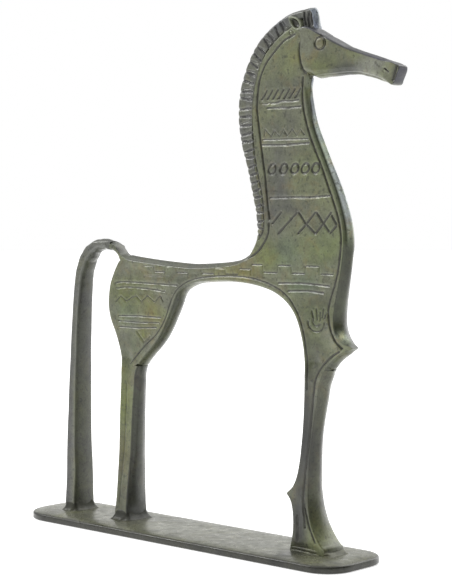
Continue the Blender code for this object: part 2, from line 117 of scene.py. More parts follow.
MANE_PLAIN_BLOCKS = 12  # the lowest blocks have no strands


# ---- measuring the CAD nodes

def node_mesh(name):
    """A CAD node's points in millimetres and its triangles. Points at one place are one point."""
    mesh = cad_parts[name].data
    points = np.empty(3 * len(mesh.vertices), np.float32)
    mesh.vertices.foreach_get("co", points)
    points = np.round(points.reshape(-1, 3).astype(float) / MM, 3)
    places, index = np.unique(points, axis=0, return_inverse=True)
    index = index.ravel()
    faces = np.array([[index[corner] for corner in face.vertices] for face in mesh.polygons])
    return places, faces


def node_tree(name):
    points, faces = node_mesh(name)
    return BVHTree.FromPolygons(points.tolist(), faces.tolist())


TREES = {name: node_tree(name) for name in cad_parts}


def hit(name, start, direction):
    """Where a ray first meets a CAD node."""
    place = TREES[name].ray_cast(Vector(start), Vector(direction))[0]
    if place is None:
        raise ValueError(f"no surface of {name} from {start} along {direction}")
    return place


EDGE_FACING = 0.02  # an edge face's normal has less than this along y
BEVEL_FACING = (0.05, 0.98)  # a bevel's is between these


def side_outline(name):
    """The rim of a plate-shaped node's right side, as one anticlockwise loop of (x, z)."""
    points, faces = node_mesh(name)
    across = points[faces[:, 1]] - points[faces[:, 0]]
    normals = np.cross(across, points[faces[:, 2]] - points[faces[:, 0]])
    sideways = np.abs(normals[:, 1]) / np.maximum(np.linalg.norm(normals, axis=1), 1e-9)
    touching = {}
    for face, value in zip(faces, sideways):
        for start, end in zip(face, np.roll(face, -1)):
            touching.setdefault(frozenset((start, end)), []).append(value)
    links = {}
    for edge, values in touching.items():
        on_bevel = BEVEL_FACING[0] < max(values) < BEVEL_FACING[1]
        on_rim = len(values) == 2 and min(values) < EDGE_FACING and on_bevel
        if on_rim and all(points[corner][1] < 0 for corner in edge):
            start, end = edge
            links.setdefault(start, []).append(end)
            links.setdefault(end, []).append(start)
    longest = []
    while links:
        loop = [next(iter(links))]
        while True:
            onward = [other for other in links.pop(loop[-1], []) if other in links]
            if not onward:
                break
            loop.append(onward[0])
        if len(loop) > len(longest):
            longest = loop
    return anticlockwise(points[longest][:, [0, 2]])


def anticlockwise(loop):
    loop = np.array(loop, float)
    following = np.roll(loop, -1, axis=0)
    area = np.sum(loop[:, 0] * following[:, 1] - following[:, 0] * loop[:, 1])
    return loop if area > 0 else loop[::-1]


MAP_MARGIN = 6  # steps of a thickness map outside the nodes
MAP_SMOOTHINGS = 3  # times that it is averaged


def thickness_map(*names, step=1.5):
    """A smooth map of the half thickness of some nodes over their side view, as a function of x and z."""
    boxes = [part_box(name) for name in names]
    margin = MAP_MARGIN * step
    low = [min(box[0][axis] for box in boxes) / MM - margin for axis in (0, 2)]
    high = [max(box[1][axis] for box in boxes) / MM + margin for axis in (0, 2)]
    xs = np.arange(low[0], high[0], step)
    zs = np.arange(low[1], high[1], step)
    grid = np.full((len(xs), len(zs)), np.nan)
    for i, x in enumerate(xs):
        for j, z in enumerate(zs):
            for name in names:
                place, normal, _, _ = TREES[name].ray_cast(Vector((x, -FAR, z)), Vector((0, 1, 0)))
                if place is not None and abs(normal.y) > 0.8 and place.y < -1.0:
                    grid[i, j] = -place.y
    while np.isnan(grid).any():
        around = [np.roll(grid, shift, axis) for axis in (0, 1) for shift in (-1, 1)]
        with np.errstate(all="ignore"):
            total = np.nansum(around, axis=0)
            known = np.sum(~np.isnan(around), axis=0)
            grid = np.where(np.isnan(grid) & (known > 0), total / np.maximum(known, 1), grid)
    for _ in range(MAP_SMOOTHINGS):
        for axis in (0, 1):
            grid = (np.roll(grid, 1, axis) + 2 * grid + np.roll(grid, -1, axis)) / 4

    def sample(x, z):
        across = np.clip((np.asarray(x) - low[0]) / step, 0, len(xs) - 1.001)
        up = np.clip((np.asarray(z) - low[1]) / step, 0, len(zs) - 1.001)
        i = across.astype(int)
        j = up.astype(int)
        s = across - i
        t = up - j
        lower = grid[i, j] * (1 - s) + grid[i + 1, j] * s
        upper = grid[i, j + 1] * (1 - s) + grid[i + 1, j + 1] * s
        return lower * (1 - t) + upper * t

    return sample


def node_box(name):
    """The lowest and highest corner of a CAD node."""
    return (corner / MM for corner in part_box(name))


def base_top():
    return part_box("base_plate")[1].z / MM


# ---- lines and curves

def smooth_run(points, step=0.5):
    """Points along a smooth curve through the given ones, both ends included."""
    knots = np.array(points, float)
    lengths = np.linalg.norm(np.diff(knots, axis=0), axis=1)
    slopes = np.empty_like(knots)
    slopes[1:-1] = (knots[2:] - knots[:-2]) / (lengths[1:] + lengths[:-1])[:, None]
    slopes[0] = (knots[1] - knots[0]) / lengths[0]
    slopes[-1] = (knots[-1] - knots[-2]) / lengths[-1]
    run = [knots[0]]
    for index, length in enumerate(lengths):
        for t in np.linspace(0, 1, max(2, round(length / step) + 1))[1:]:
            run.append(hermite(knots[index], knots[index + 1], slopes[index], slopes[index + 1], length, t))
    return np.array(run)


def hermite(start, end, slope_start, slope_end, length, t):
    """A point on the cubic curve that leaves start and reaches end with the given slopes per millimetre."""
    return (
        (2 * t**3 - 3 * t**2 + 1) * start
        + (t**3 - 2 * t**2 + t) * length * slope_start
        + (3 * t**2 - 2 * t**3) * end
        + (t**3 - t**2) * length * slope_end
    )


def refined(loop):
    """The loop with closer points, on smooth curves between its corners."""
    points = np.array(loop, float)
    count = len(points)
    ahead = np.roll(points, -1, axis=0) - points
    length = np.linalg.norm(ahead, axis=1)
    unit = ahead / length[:, None]
    before = np.roll(unit, 1, axis=0)
    corner = np.sum(unit * before, axis=1) < math.cos(CORNER_ANGLE)
    reach = (length + np.roll(length, 1))[:, None]
    slope = (np.roll(points, -1, axis=0) - np.roll(points, 1, axis=0)) / reach
    run = []
    for index in range(count):
        following = (index + 1) % count
        leaving = unit[index] if corner[index] else slope[index]
        reaching = unit[index] if corner[following] else slope[following]
        steps = max(1, round(length[index] / RIM_STEP))
        for t in np.arange(steps) / steps:
            run.append(hermite(points[index], points[following], leaving, reaching, length[index], t))
    return np.array(run)


def clearance(points, starts, ends):
    """Distance of each point to the nearest of some segments."""
    along = ends - starts
    size = np.maximum(np.sum(along**2, axis=1), 1e-12)
    nearest = np.empty(len(points))
    for first in range(0, len(points), 400):
        chunk = points[first : first + 400, None, :] - starts[None]
        share = np.clip(np.sum(chunk * along[None], axis=2) / size[None], 0, 1)
        gap = np.linalg.norm(chunk - share[..., None] * along[None], axis=2)
        nearest[first : first + 400] = gap.min(axis=1)
    return nearest


def grid_inside(loop, step, shift=0.0):
    """Points of a triangular grid inside the loop."""
    low = loop.min(axis=0)
    high = loop.max(axis=0)
    following = np.roll(loop, -1, axis=0)
    found = []
    for row, z in enumerate(np.arange(low[1] + 0.4 * step + shift, high[1], step * 0.866)):
        crossing = (loop[:, 1] > z) != (following[:, 1] > z)
        share = (z - loop[crossing, 1]) / (following[crossing, 1] - loop[crossing, 1])
        cuts = np.sort(loop[crossing, 0] + share * (following[crossing, 0] - loop[crossing, 0]))
        xs = np.arange(low[0] + 0.5 * step * (row % 2), high[0], step)
        within = np.searchsorted(cuts, xs) % 2 == 1
        found.append(np.stack([xs[within], np.full(within.sum(), z)], axis=1))
    return np.concatenate(found)


def ease(value, start, end):
    """0 at start, 1 at end, smooth between."""
    share = np.clip((np.asarray(value, float) - start) / (end - start), 0.0, 1.0)
    return share * share * (3 - 2 * share)


def ripple(x, z, seed=0.0):
    """Gentle hand-finished unevenness, from 0 to 1."""
    waves = (
        np.sin(0.31 * x + 0.22 * z + seed)
        + np.sin(-0.19 * x + 0.37 * z + 1.7 * seed + 1.0)
        + 0.8 * np.sin(0.62 * x - 0.55 * z + 2.3 * seed + 2.0)
        + 0.5 * np.sin(1.27 * x + 1.11 * z + 0.6 * seed)
    )
    return 0.5 + waves / 6.6


def flat_tree(places):
    """A search tree over places in a side view."""
    tree = KDTree(len(places))
    for index, (x, z) in enumerate(places):
        tree.insert((x, z, 0.0), index)
    tree.balance()
    return tree


# ---- engraved lines

LINE_STEP = 0.12  # spacing of the places that stand for a cut line


class Engraving:
    """Cut lines, each with its half width and depth. Distances are measured in the side view."""

    def __init__(self):
        self.places = []
        self.sizes = []

    def cut(self, points, half_width=0.5, depth=0.38):
        points = np.array(points, float)
        lengths = np.linalg.norm(np.diff(points, axis=0), axis=1)
        for start, end, length in zip(points, points[1:], lengths):
            for t in np.linspace(0, 1, max(2, int(length / LINE_STEP) + 1)):
                self.places.append(start + (end - start) * t)
                self.sizes.append((half_width, depth))

    def close(self):
        self.sizes = np.array(self.sizes)
        self.tree = flat_tree(self.places)
        return self

    def measure(self, points):
        """Depth of cut, distance to the nearest line's border and shape of the raised lip at each point."""
        depth = np.zeros(len(points))
        border = np.full(len(points), FAR)
        lip = np.zeros(len(points))
        if not self.places:
            return depth, border, lip
        for index, (x, z) in enumerate(points):
            _, nearest, gap = self.tree.find((x, z, 0.0))
            half_width, deep = self.sizes[nearest]
            border[index] = gap - half_width
            if gap < half_width:
                depth[index] = deep * (1 - (gap / half_width) ** 2) ** 1.5
            elif gap < half_width + LIP_WIDTH:
                lip[index] = math.sin(math.pi * (gap - half_width) / LIP_WIDTH)
        return depth, border, lip


# ---- patches of patina colour, and of painted shade and highlight

TONE_PATCHES = (  # x, height, reach along x, reach along z, colour that multiplies the patina
    (66.0, 236.0, 11.0, 10.0, (1.04, 1.08, 0.86)),
    (70.0, 238.0, 4.0, 4.0, (1.10, 1.00, 0.80)),
    (64.0, 226.0, 12.0, 4.0, (0.74, 0.74, 0.88)),
    (58.0, 176.0, 8.0, 26.0, (0.68, 0.66, 0.92)),
    (60.0, 206.0, 10.0, 6.0, (0.86, 0.86, 0.94)),
    (80.0, 190.0, 10.0, 14.0, (0.96, 1.02, 0.84)),
    (72.0, 168.0, 9.0, 4.0, (0.74, 0.72, 0.88)),
    (88.0, 148.0, 12.0, 11.0, (0.90, 1.02, 0.68)),
    (66.0, 146.0, 9.0, 8.0, (0.84, 1.00, 0.86)),
    (52.0, 144.0, 9.0, 8.0, (0.98, 1.04, 0.52)),
    (37.0, 136.0, 11.0, 4.5, (1.02, 0.90, 0.38)),
    (20.0, 135.0, 9.0, 3.0, (0.96, 0.90, 0.60)),
    (-8.0, 133.0, 14.0, 5.0, (0.64, 0.66, 0.66)),
    (76.0, 131.0, 10.0, 5.0, (0.68, 0.82, 0.76)),
    (84.0, 117.0, 12.0, 10.0, (0.58, 0.64, 0.42)),
    (82.0, 100.0, 10.0, 9.0, (0.56, 0.60, 0.42)),
    (-42.0, 123.0, 14.0, 9.0, (0.76, 0.82, 0.36)),
    (-44.0, 113.0, 9.0, 6.0, (0.86, 0.98, 0.84)),
    (-25.0, 113.0, 8.0, 9.0, (0.96, 0.90, 0.42)),
    (-40.0, 94.0, 8.0, 9.0, (0.54, 0.58, 0.50)),
    (-32.0, 103.0, 4.0, 4.0, (1.10, 1.10, 0.50)),
    (-46.0, 66.0, 7.0, 20.0, (0.72, 0.80, 0.20)),
    (-46.0, 40.0, 7.0, 13.0, (0.62, 0.56, 0.26)),
    (-46.0, 16.0, 5.0, 14.0, (0.50, 0.50, 0.34)),
    (-55.0, 147.5, 5.0, 5.0, (0.60, 0.60, 0.66)),
    (-79.0, 58.0, 5.0, 20.0, (1.06, 1.12, 0.62)),
    (-79.0, 20.0, 6.0, 16.0, (1.06, 1.10, 0.62)),
    (-87.0, 70.0, 4.5, 80.0, (0.48, 0.48, 0.54)),
    (77.0, 60.0, 8.0, 34.0, (0.10, 0.10, 0.12)),
    (75.0, 18.0, 6.0, 18.0, (0.13, 0.14, 0.14)),
    (88.0, 12.0, 6.0, 7.0, (1.34, 1.36, 1.14)),
    (88.0, 233.0, 8.0, 6.0, (0.94, 1.00, 0.64)),
    # the next two are painted shade on the middle of the head and a painted highlight nearer the muzzle
    (101.0, 229.5, 9.0, 4.5, (0.40, 0.40, 0.56)),
    (115.0, 231.5, 9.0, 4.5, (1.75, 1.70, 2.15)),
    (78.0, 243.0, 5.0, 7.0, (1.18, 1.18, 1.24)),
    (71.0, 254.0, 5.0, 4.0, (1.30, 1.32, 1.34)),
    (60.0, 256.0, 9.0, 6.0, (0.72, 0.74, 0.92)),
)


def patina_and_light_tone(points):
    """The colour by which the patina is multiplied at each point, from broad patches that fade out."""
    # two of the patches, on the head, are painted shade and a painted highlight
    tone = np.ones((len(points), 3))
    for x, z, wide, tall, colour in TONE_PATCHES:
        away = ((points[:, 0] - x) / wide) ** 2 + ((points[:, 2] - z) / tall) ** 2
        share = np.exp(-(away**1.5))[:, None]
        tone *= 1 + share * (np.array(colour) - 1)
    return tone


# ---- meshes

def add_object(name, data):
    made = bpy.data.objects.new(name, data)
    bpy.context.scene.collection.objects.link(made)
    return made


def finish_mesh(name, points, faces, node, material, relief=0.0, shade=1.0):
    """A smooth-shaded piece from points in millimetres that stands for a CAD node and rides on its body."""
    points = np.clip(points, *np.array(CAD_BOX) / MM)
    mesh = bpy.data.meshes.new(name)
    mesh.from_pydata((points * MM).tolist(), [], faces)
    mesh.shade_smooth()
    mesh.set_sharp_from_angle(angle=math.radians(CREASE))
    values = np.broadcast_to(np.asarray(relief, np.float32), len(points)).astype(np.float32)
    mesh.attributes.new("relief", "FLOAT", "POINT").data.foreach_set("value", values)
    colours = np.ones((len(points), 4), np.float32)
    # the tone is the patina patches times shade, which is painted shade and painted highlight given per
    # point
    shade = np.asarray(shade, float)
    colours[:, :3] = patina_and_light_tone(points) * (shade[:, None] if shade.ndim == 1 else shade)
    mesh.attributes.new("tone", "FLOAT_COLOR", "POINT").data.foreach_set("color", colours.ravel())
    mesh.materials.append(material)
    made = add_object(name, mesh)
    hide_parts(node)
    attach(made, "root")


def joint_flags(loop, neighbours, half_at):
    """For each edge of the loop, whether a neighbouring CAD node lies against it."""
    following = np.roll(loop, -1, axis=0)
    along = following - loop
    along /= np.linalg.norm(along, axis=1)[:, None]
    middles = (loop + following) / 2
    halves = half_at(middles[:, 0], middles[:, 1])
    flags = []
    for (x, z), (across, up), half in zip(middles, along, halves):
        outward = Vector((up, 0, -across))
        starts = [Vector((x, -share * half, z)) - SEAM_START * outward for share in (0.0, 0.8)]
        trees = [TREES[name] for name in neighbours]
        hits = [tree.ray_cast(start, outward, SEAM_REACH)[0] for tree in trees for start in starts]
        flags.append(any(place is not None for place in hits))
    return np.array(flags, bool)


def inward_steps(loop, joint):
    """The way each outline point moves inwards, long enough to move its edges by one unit."""
    following = np.roll(loop, -1, axis=0) - loop
    following /= np.linalg.norm(following, axis=1)[:, None]
    previous = np.roll(following, 1, axis=0)
    joint_before = np.roll(joint, 1)
    turned = np.stack([-following[:, 1], following[:, 0]], axis=1)
    turned_before = np.roll(turned, 1, axis=0)
    bisector = turned + turned_before
    bisector /= np.maximum(np.linalg.norm(bisector, axis=1), 1e-6)[:, None]
    stretch = 1 / np.maximum(np.sum(bisector * turned, axis=1), 0.5)
    steps = bisector * stretch[:, None]
    leaving = joint & ~joint_before
    rise = np.maximum(np.sum(following * turned_before, axis=1), 0.5)
    steps[leaving] = (following / rise[:, None])[leaving]
    arriving = joint_before & ~joint
    rise = np.maximum(np.sum(-previous * turned, axis=1), 0.5)
    steps[arriving] = (-previous / rise[:, None])[arriving]
    steps[joint & joint_before] = 0.0
    return steps


def close_joints(loop, joint):
    """Moves the outline out along its joints by half the clearance, so that the pieces meet."""
    following = np.roll(loop, -1, axis=0) - loop
    following /= np.linalg.norm(following, axis=1)[:, None]
    outward = np.stack([following[:, 1], -following[:, 0]], axis=1) * joint[:, None]
    push = outward + np.roll(outward, 1, axis=0)
    size = np.linalg.norm(push, axis=1)
    return loop + JOINT_FILL * push / np.maximum(size, 1.0)[:, None]


def drop_near_ends(loop, joint):
    """Leaves out outline points on a joint that are near one of its ends."""
    joint_before = np.roll(joint, 1)
    inside = joint & joint_before
    ends = loop[joint != joint_before]
    if len(ends) == 0:
        return loop, joint
    near = np.array([np.linalg.norm(ends - point, axis=1).min() < SEAM_CLEAR for point in loop])
    keep = ~(inside & near)
    return loop[keep], joint[keep]


def room(loop, joint, steps, wanted):
    """The share of the wanted inset that each outline point can take before it meets the other side."""
    free = ~joint
    starts = loop[free]
    ends = np.roll(loop, -1, axis=0)[free]
    share = np.full(len(loop), 0.06)
    for trial in (0.15, 0.3, 0.45, 0.6, 0.8, 1.0):
        moved = loop + steps * (wanted * trial)[:, None]
        fits = clearance(moved, starts, ends) > 0.9 * wanted * trial
        share = np.where(fits, trial, share)
    for _ in range(2):
        share = np.minimum(share, np.minimum(np.roll(share, 1), np.roll(share, -1)))
    for _ in range(4):
        share = (np.roll(share, 1) + 2 * share + np.roll(share, -1)) / 4
    return share


def facing(outward):
    """How much each outline point faces forwards, up, back and down."""
    return [np.clip(sign * outward[:, axis], 0, 1) for sign, axis in ((1, 0), (1, 1), (-1, 0), (-1, 1))]


def casting(name, node, loop, half_at, edge, material, neighbours=(), engraving=None, wear=0.3,
            front_shade=None, top_shade=(1.0, 1.0, 1.0)):
    """An upright plate with rounded edges and engraved sides.

    half_at gives the half thickness at (x, z). edge gives, from places and outward directions, how far
    the edge face bulges, the radius of its corners, and how far its middle stands outside the node's
    outline, so that a rounded edge looks as wide as the square one. wear is how far corners are rubbed.
    front_shade gives painted shade and highlight: the colour that multiplies the patina of faces that look
    forwards, from places and shares of the way across from mid-thickness to the left corner (the right one
    is at -1); top_shade gives the same painted shade for faces that look up.
    """
    loop = refined(loop)
    joint = joint_flags(loop, neighbours, half_at)
    loop = close_joints(loop, joint)
    loop, joint = drop_near_ends(loop, joint)
    steps = inward_steps(loop, joint)
    outward = -steps / np.maximum(np.linalg.norm(steps, axis=1), 1e-6)[:, None]
    bulge, radius, proud = edge(loop, outward)
    share = room(loop, joint, steps, bulge + radius)
    bulge = bulge * share
    radius = radius * share
    moving = np.linalg.norm(steps, axis=1) > 0
    growth = outward * (proud * share * moving)[:, None]
    if joint.any():
        ends = loop[joint | np.roll(joint, 1)]
        nearest = np.min(np.linalg.norm(loop[:, None] - ends[None], axis=2), axis=1)
        growth[:, 1] *= ease(nearest, 0.0, SEAM_FADE)
    loop = loop + growth
    inner = loop + steps * (bulge + radius)[:, None]
    engraving = engraving or Engraving()
    side, triangles, border = side_mesh(inner, engraving)
    depth, _, lip = engraving.measure(side)
    edge_gap = clearance(side, inner, np.roll(inner, -1, axis=0))
    depth = depth * (0.65 + 0.6 * ripple(3.1 * side[:, 0], 2.7 * side[:, 1], 4.0))
    lip = lip * ripple(2.3 * side[:, 0], 1.9 * side[:, 1], 3.0)
    uneven = UNEVENNESS * ripple(side[:, 0], side[:, 1]) * ease(edge_gap, 0.0, 4.0)
    height = half_at(side[:, 0], side[:, 1]) - depth - uneven + LIP_HEIGHT * lip * ease(edge_gap, 0.2, 1.2)
    free = ~joint
    free_gap = clearance(side, inner[free], np.roll(inner, -1, axis=0)[free])
    worn = wear * np.exp(-((free_gap / WEAR_REACH) ** 2))
    relief = worn + LIP_RELIEF * lip - np.minimum(depth / FULL_DEPTH, 1.0)
    rim_height = height[border]
    points = []
    faces = []
    marks = []
    rows = rim_rows(loop, steps, bulge, radius, rim_height, wear)
    count = len(loop)
    # painted shade and painted highlight: rim rows that face forwards or up take the front_shade and
    # top_shade colours
    forward, upward, _, _ = (share[:, None] for share in facing(outward))
    top_tint = 1 + upward * (np.array(top_shade) - 1)
    shades = [np.ones((2 * len(side), 3))]
    for sign in (-1, 1):
        first = len(points)
        points += [(x, sign * y, z) for (x, z), y in zip(side, height)]
        marks += list(relief)
        turn = 1 if sign < 0 else -1
        faces += [[first + corner for corner in face[::turn]] for face in triangles]
    first = len(points)
    for spots, y, mark in rows:
        points += [(x, value, z) for (x, z), value in zip(spots, y)]
        marks += [mark] * count
        across = y / (rim_height - radius)
        front_tint = front_shade(loop, across) if front_shade else np.ones((count, 3))
        shades.append(top_tint * (1 + forward * (front_tint - 1)))
    near = np.array(border)
    far = near + len(side)
    bands = [near] + [first + row * count + np.arange(count) for row in range(len(rows))] + [far]
    for lower, upper in zip(bands, bands[1:]):
        for index in range(count):
            following = (index + 1) % count
            faces.append([lower[index], upper[index], upper[following], lower[following]])
    faces = [[int(corner) for corner in face] for face in faces]
    finish_mesh(name, points, faces, node, material, marks, np.concatenate(shades))


def rim_rows(loop, steps, bulge, radius, rim_height, wear):
    """Rows of points round a casting's edge, from just inside its right side to just inside its left."""
    half = []
    for turn in reversed(CORNER_ROWS[:-1]):
        angle = math.radians(turn)
        inset = bulge + radius * (1 - math.cos(angle))
        y = rim_height - radius * (1 - math.sin(angle))
        half.append((loop + steps * inset[:, None], y, 1.2 * wear))
    for share in reversed(FACE_ROWS):
        inset = bulge * share**2
        y = (rim_height - radius) * share
        half.append((loop + steps * inset[:, None], y, wear if share == 1.0 else 0.0))
    rows = [(spots, -y, mark) for spots, y, mark in half]
    rows += [(spots, y, mark) for spots, y, mark in reversed(half[:-1])]
    return rows


def side_mesh(inner, engraving, step=COARSE_STEP):
    """Triangles over the inside of a loop, fine beside engraved lines and coarse elsewhere.

    Returns the points, the triangles and the places of the loop's own points among the points.
    """
    outline = flat_tree(inner)
    coarse = grid_inside(inner, step)
    fine = grid_inside(inner, FINE_STEP, 0.05) if engraving.places else np.empty((0, 2))
    kept = []
    for spots, low, high, clear in (
        (fine, -FAR, FINE_REACH, 0.5 * FINE_STEP),
        (coarse, FINE_REACH + 0.5 * FINE_STEP, 2 * FAR, 0.45 * RIM_STEP),
    ):
        if len(spots) == 0:
            continue
        _, border, _ = engraving.measure(spots)
        away = np.array([outline.find((x, z, 0.0))[2] for x, z in spots])
        kept.append(spots[(border > low) & (border < high) & (away > clear)])
    flat = np.concatenate([inner, *kept])
    count = len(inner)
    border = [(index, (index + 1) % count) for index in range(count)]
    spots, _, triangles, origin, _, _ = delaunay_2d_cdt([Vector(p) for p in flat], border, [], 1, 1e-6)
    place = {}
    for index, sources in enumerate(origin):
        for source in sources:
            place[source] = index
    side = np.array([(spot.x, spot.y) for spot in spots])
    first = side[triangles[0]]
    turning = np.cross(first[1] - first[0], first[2] - first[0])
    if turning < 0:
        triangles = [face[::-1] for face in triangles]
    return side, triangles, [place[index] for index in range(count)]


# ---- the engraved pattern on both sides of the trunk

def line(cutter, *points, half_width=0.65, depth=0.42):
    cutter.cut(points, half_width, depth)


def curve(cutter, *points, half_width=0.75, depth=0.6):
    cutter.cut(smooth_run(points), half_width, depth)


def ring(cutter, x, z, wide, tall, start=0.0, end=360.0, lean=0.0, half_width=0.6, depth=0.45):
    """A cut ellipse, or part of one, leaning to the right going up."""
    turns = np.radians(np.arange(start, end + 1, 12))
    up = tall * np.sin(turns)
    across = wide * np.cos(turns) + lean * up
    cutter.cut(np.stack([x + across, z + up], axis=1), half_width, depth)


def meander(cutter, risers, low, high, depth):
    """A square-cornered key line that changes level at each riser, where it is only lightly cut."""
    level, other = high, low
    for start, end in zip(risers, risers[1:]):
        line(cutter, (start + 0.6, level), (end - 0.9, level), half_width=0.55, depth=depth)
        line(cutter, (end - 0.3, level), (end, other), half_width=0.5, depth=0.45 * depth)
        level, other = other, level


def haunch_pattern(cutter):
    curve(cutter, (-41.5, 86.2), (-39.2, 88.3), (-33.5, 93.6), (-27.8, 98.3), (-22.8, 102), (-18.8, 106.2),
          (-15.8, 110.4), (-13.7, 114.8), (-11, 120.7), (-7.8, 125.3), (-3.8, 128.3), (1.2, 130.6),
          (8.5, 132.4), (18, 133.5), (27.5, 134.0), (36.8, 133.9), (44.8, 133.2), (52.7, 131.5),
          (60.5, 128.8), (66, 125.6), (69.3, 122.4), (73.7, 116), (76.8, 107.4), (78.3, 98), (78.9, 90),
          (79.2, 82), half_width=0.6, depth=0.45)
    curve(cutter, (-52.3, 128.2), (-47.2, 129), (-31.5, 128.9), (-21.3, 128.7), (-7, 128.4), depth=0.32)
    curve(cutter, (-51.5, 125.5), (-44.6, 126.3), (-28.9, 126), (-15.5, 124.9), depth=0.32)
    line(cutter, (-51.5, 118.7), (-47.9, 121.6), (-43.9, 119), (-40, 121), (-36.5, 122), (-32.8, 119),
         (-28.3, 122.3), (-23.2, 119.3), (-18.8, 122.6), (-16.8, 119.8), half_width=0.5, depth=0.3)
    line(cutter, (-49.3, 111.2), (-34, 111.6), (-18.6, 111.4), depth=0.38)
    line(cutter, (-49.6, 108.5), (-34, 108.3), (-19.8, 108.7), depth=0.34)
    line(cutter, (-49.0, 105.5), (-34, 105.4), (-22.0, 106.2), depth=0.38)
    line(cutter, (-36, 103.6), (-30.6, 98.2), (-26.5, 101.5), half_width=0.5, depth=0.25)


def back_pattern(cutter):
    meander(cutter, (-31.5, -23.1, -14.9, -7, 1.2, 10.3, 19.2, 26.6, 35.1, 43.5), 134.9, 137.7, 0.34)
    meander(cutter, (43.5, 51.2, 60.3, 69.0, 77.6, 86.3, 94.6), 136.4, 140.0, 0.42)
    line(cutter, (-30.5, 132.4), (-13, 132.8), half_width=0.5, depth=0.22)


def chest_pattern(cutter):
    curve(cutter, (61, 131.5), (76, 131.8), (92.0, 131.0), depth=0.42)
    curve(cutter, (67, 127.9), (78, 128.3), (88.7, 127.7), depth=0.42)
    ring(cutter, 84.3, 113.9, 5.2, 4.6, 178.0, 368.0, half_width=0.55, depth=0.42)
    ring(cutter, 84.6, 114.6, 2.7, 2.6, 170.0, 330.0, half_width=0.5, depth=0.36)
    for foot, tip in (
        ((82.7, 114.3), (81.6, 119.2)),
        ((85.1, 114.9), (84.5, 120.1)),
        ((86.9, 114.6), (87.0, 118.6)),
        ((88.1, 116.0), (89.2, 120.4)),
        ((89.7, 115.8), (91.0, 118.7)),
    ):
        line(cutter, foot, tip, half_width=0.5, depth=0.4)


def neck_pattern(cutter):
    for index in range(7):
        x = 48.9 + 3.48 * index
        line(cutter, (x, 219.5), (x + 0.9, 220.5), half_width=0.85, depth=0.6)
        line(cutter, (x + 0.9, 220.5), (x + 3.2, 223.5), half_width=0.7, depth=0.5)
    curve(cutter, (54.6, 217.4), (58.6, 217.6), (62.1, 218.2), (66.9, 217.9), (71.7, 218.3), depth=0.4)
    curve(cutter, (49.0, 217.6), (51.5, 217.2), (54.0, 217.8), half_width=0.6, depth=0.3)
    line(cutter, (52.2, 215.2), (59, 215.1), (65.6, 214.8), (73.2, 215.1), half_width=0.75, depth=0.5)
    line(cutter, (50.3, 201.6), (51, 205), (54.9, 201.4), (56.4, 204.3), (60.3, 201.2), (62.5, 204.8),
         (64.8, 201.6), (67.8, 204.6), (70.8, 201.4), (73, 204.4), (75.6, 201.6), half_width=0.5, depth=0.3)
    line(cutter, (49.6, 200.1), (64, 200), (77.6, 199.8), half_width=0.6, depth=0.36)
    line(cutter, (49.1, 197.6), (63, 197.3), (78.2, 197.9), half_width=0.75, depth=0.48)
    for x in (55.5, 62.8, 69.7, 76.2, 82.6):
        ring(cutter, x, 185.9, 2.25, 2.35, lean=0.2, half_width=0.8, depth=0.55)
    line(cutter, (55.0, 172.2), (68.5, 172.4), (79.7, 172.3), (92.8, 173.1), half_width=0.7, depth=0.5)
    for stroke in (
        ((56.8, 160.0), (62.0, 165.3)),
        ((60.8, 155.2), (71.8, 165.1)),
        ((73.0, 165.1), (77.6, 159.7), (83.2, 155.4)),
        ((72.9, 155.3), (77.6, 159.7), (82.9, 165.1)),
        ((83.8, 165.1), (88.2, 160.0), (91.6, 156.4)),
        ((83.7, 155.4), (88.2, 160.2), (92.4, 165.1)),
        ((92.6, 155.8), (95.7, 158.8)),
        ((93.0, 163.7), (95.9, 159.8)),
    ):
        line(cutter, *stroke, half_width=0.8, depth=0.56)
    line(cutter, (60.9, 155.3), (63.2, 157.4), half_width=0.95, depth=0.55)


def border_pattern(cutter):
    """The framing lines down the front of the neck and chest, and beside the mane."""
    curve(cutter, (74.6, 228.6), (74.2, 222), (74.5, 217), (75.2, 212.3), (78.0, 203.6), (81.7, 195.1),
          (86.2, 186.5), (90.1, 178), (94.1, 169.5), (97.2, 162.0), (98.8, 154), (98.5, 147), (97.3, 139),
          (95.8, 133), (94.5, 129), (93.0, 124.5), (92.1, 119.6), (92.7, 114.8), (94.0, 109.9),
          (96.4, 105.4), (99.6, 102.2))
    curve(cutter, (45.6, 214.5), (46.0, 220.1), (46.6, 225.8), (47.8, 230.1), (50, 234.3), (52.3, 237.5),
          (55.9, 241), (59.4, 244.1), (63.3, 246.8), (66.8, 248.2), (69.2, 249))
    curve(cutter, (45.6, 214.5), (46.8, 207.6), (48.5, 195.9), (50.9, 184.2), (52.4, 175.5), (53.9, 166.8),
          (54.9, 162))
    curve(cutter, (54.5, 160), (54.2, 155.8), (52.6, 152.3), (49.2, 147.9), (45.4, 144.9), (39.7, 142.3))
    ring(cutter, 67.2, 250.0, 1.1, 1.0, half_width=0.4, depth=0.35)


def foreleg_pattern(cutter):
    curve(cutter, (98, 100.6), (93.7, 98.2), (88.7, 94), (86, 90.4), (84.3, 86.6), (83.1, 80), (82, 71),
          (80.9, 61.4), (79.9, 52), (78.8, 44), (77.9, 35), (77.8, 30), (78.1, 25), (79, 21), (79.6, 16.4))
    curve(cutter, (78.6, 27.5), (79.8, 24.2), (81.4, 20.2), (83.0, 16.2), (84.8, 12.9), (86.2, 10.2))
    curve(cutter, (73.8, 21), (74.2, 15.5), (74.4, 9.6), depth=0.5)


def hind_leg_pattern(cutter):
    curve(cutter, (-43.2, 76), (-43.6, 60), (-44.2, 45), (-45.3, 30), (-46.2, 14),
          half_width=0.5, depth=0.22)


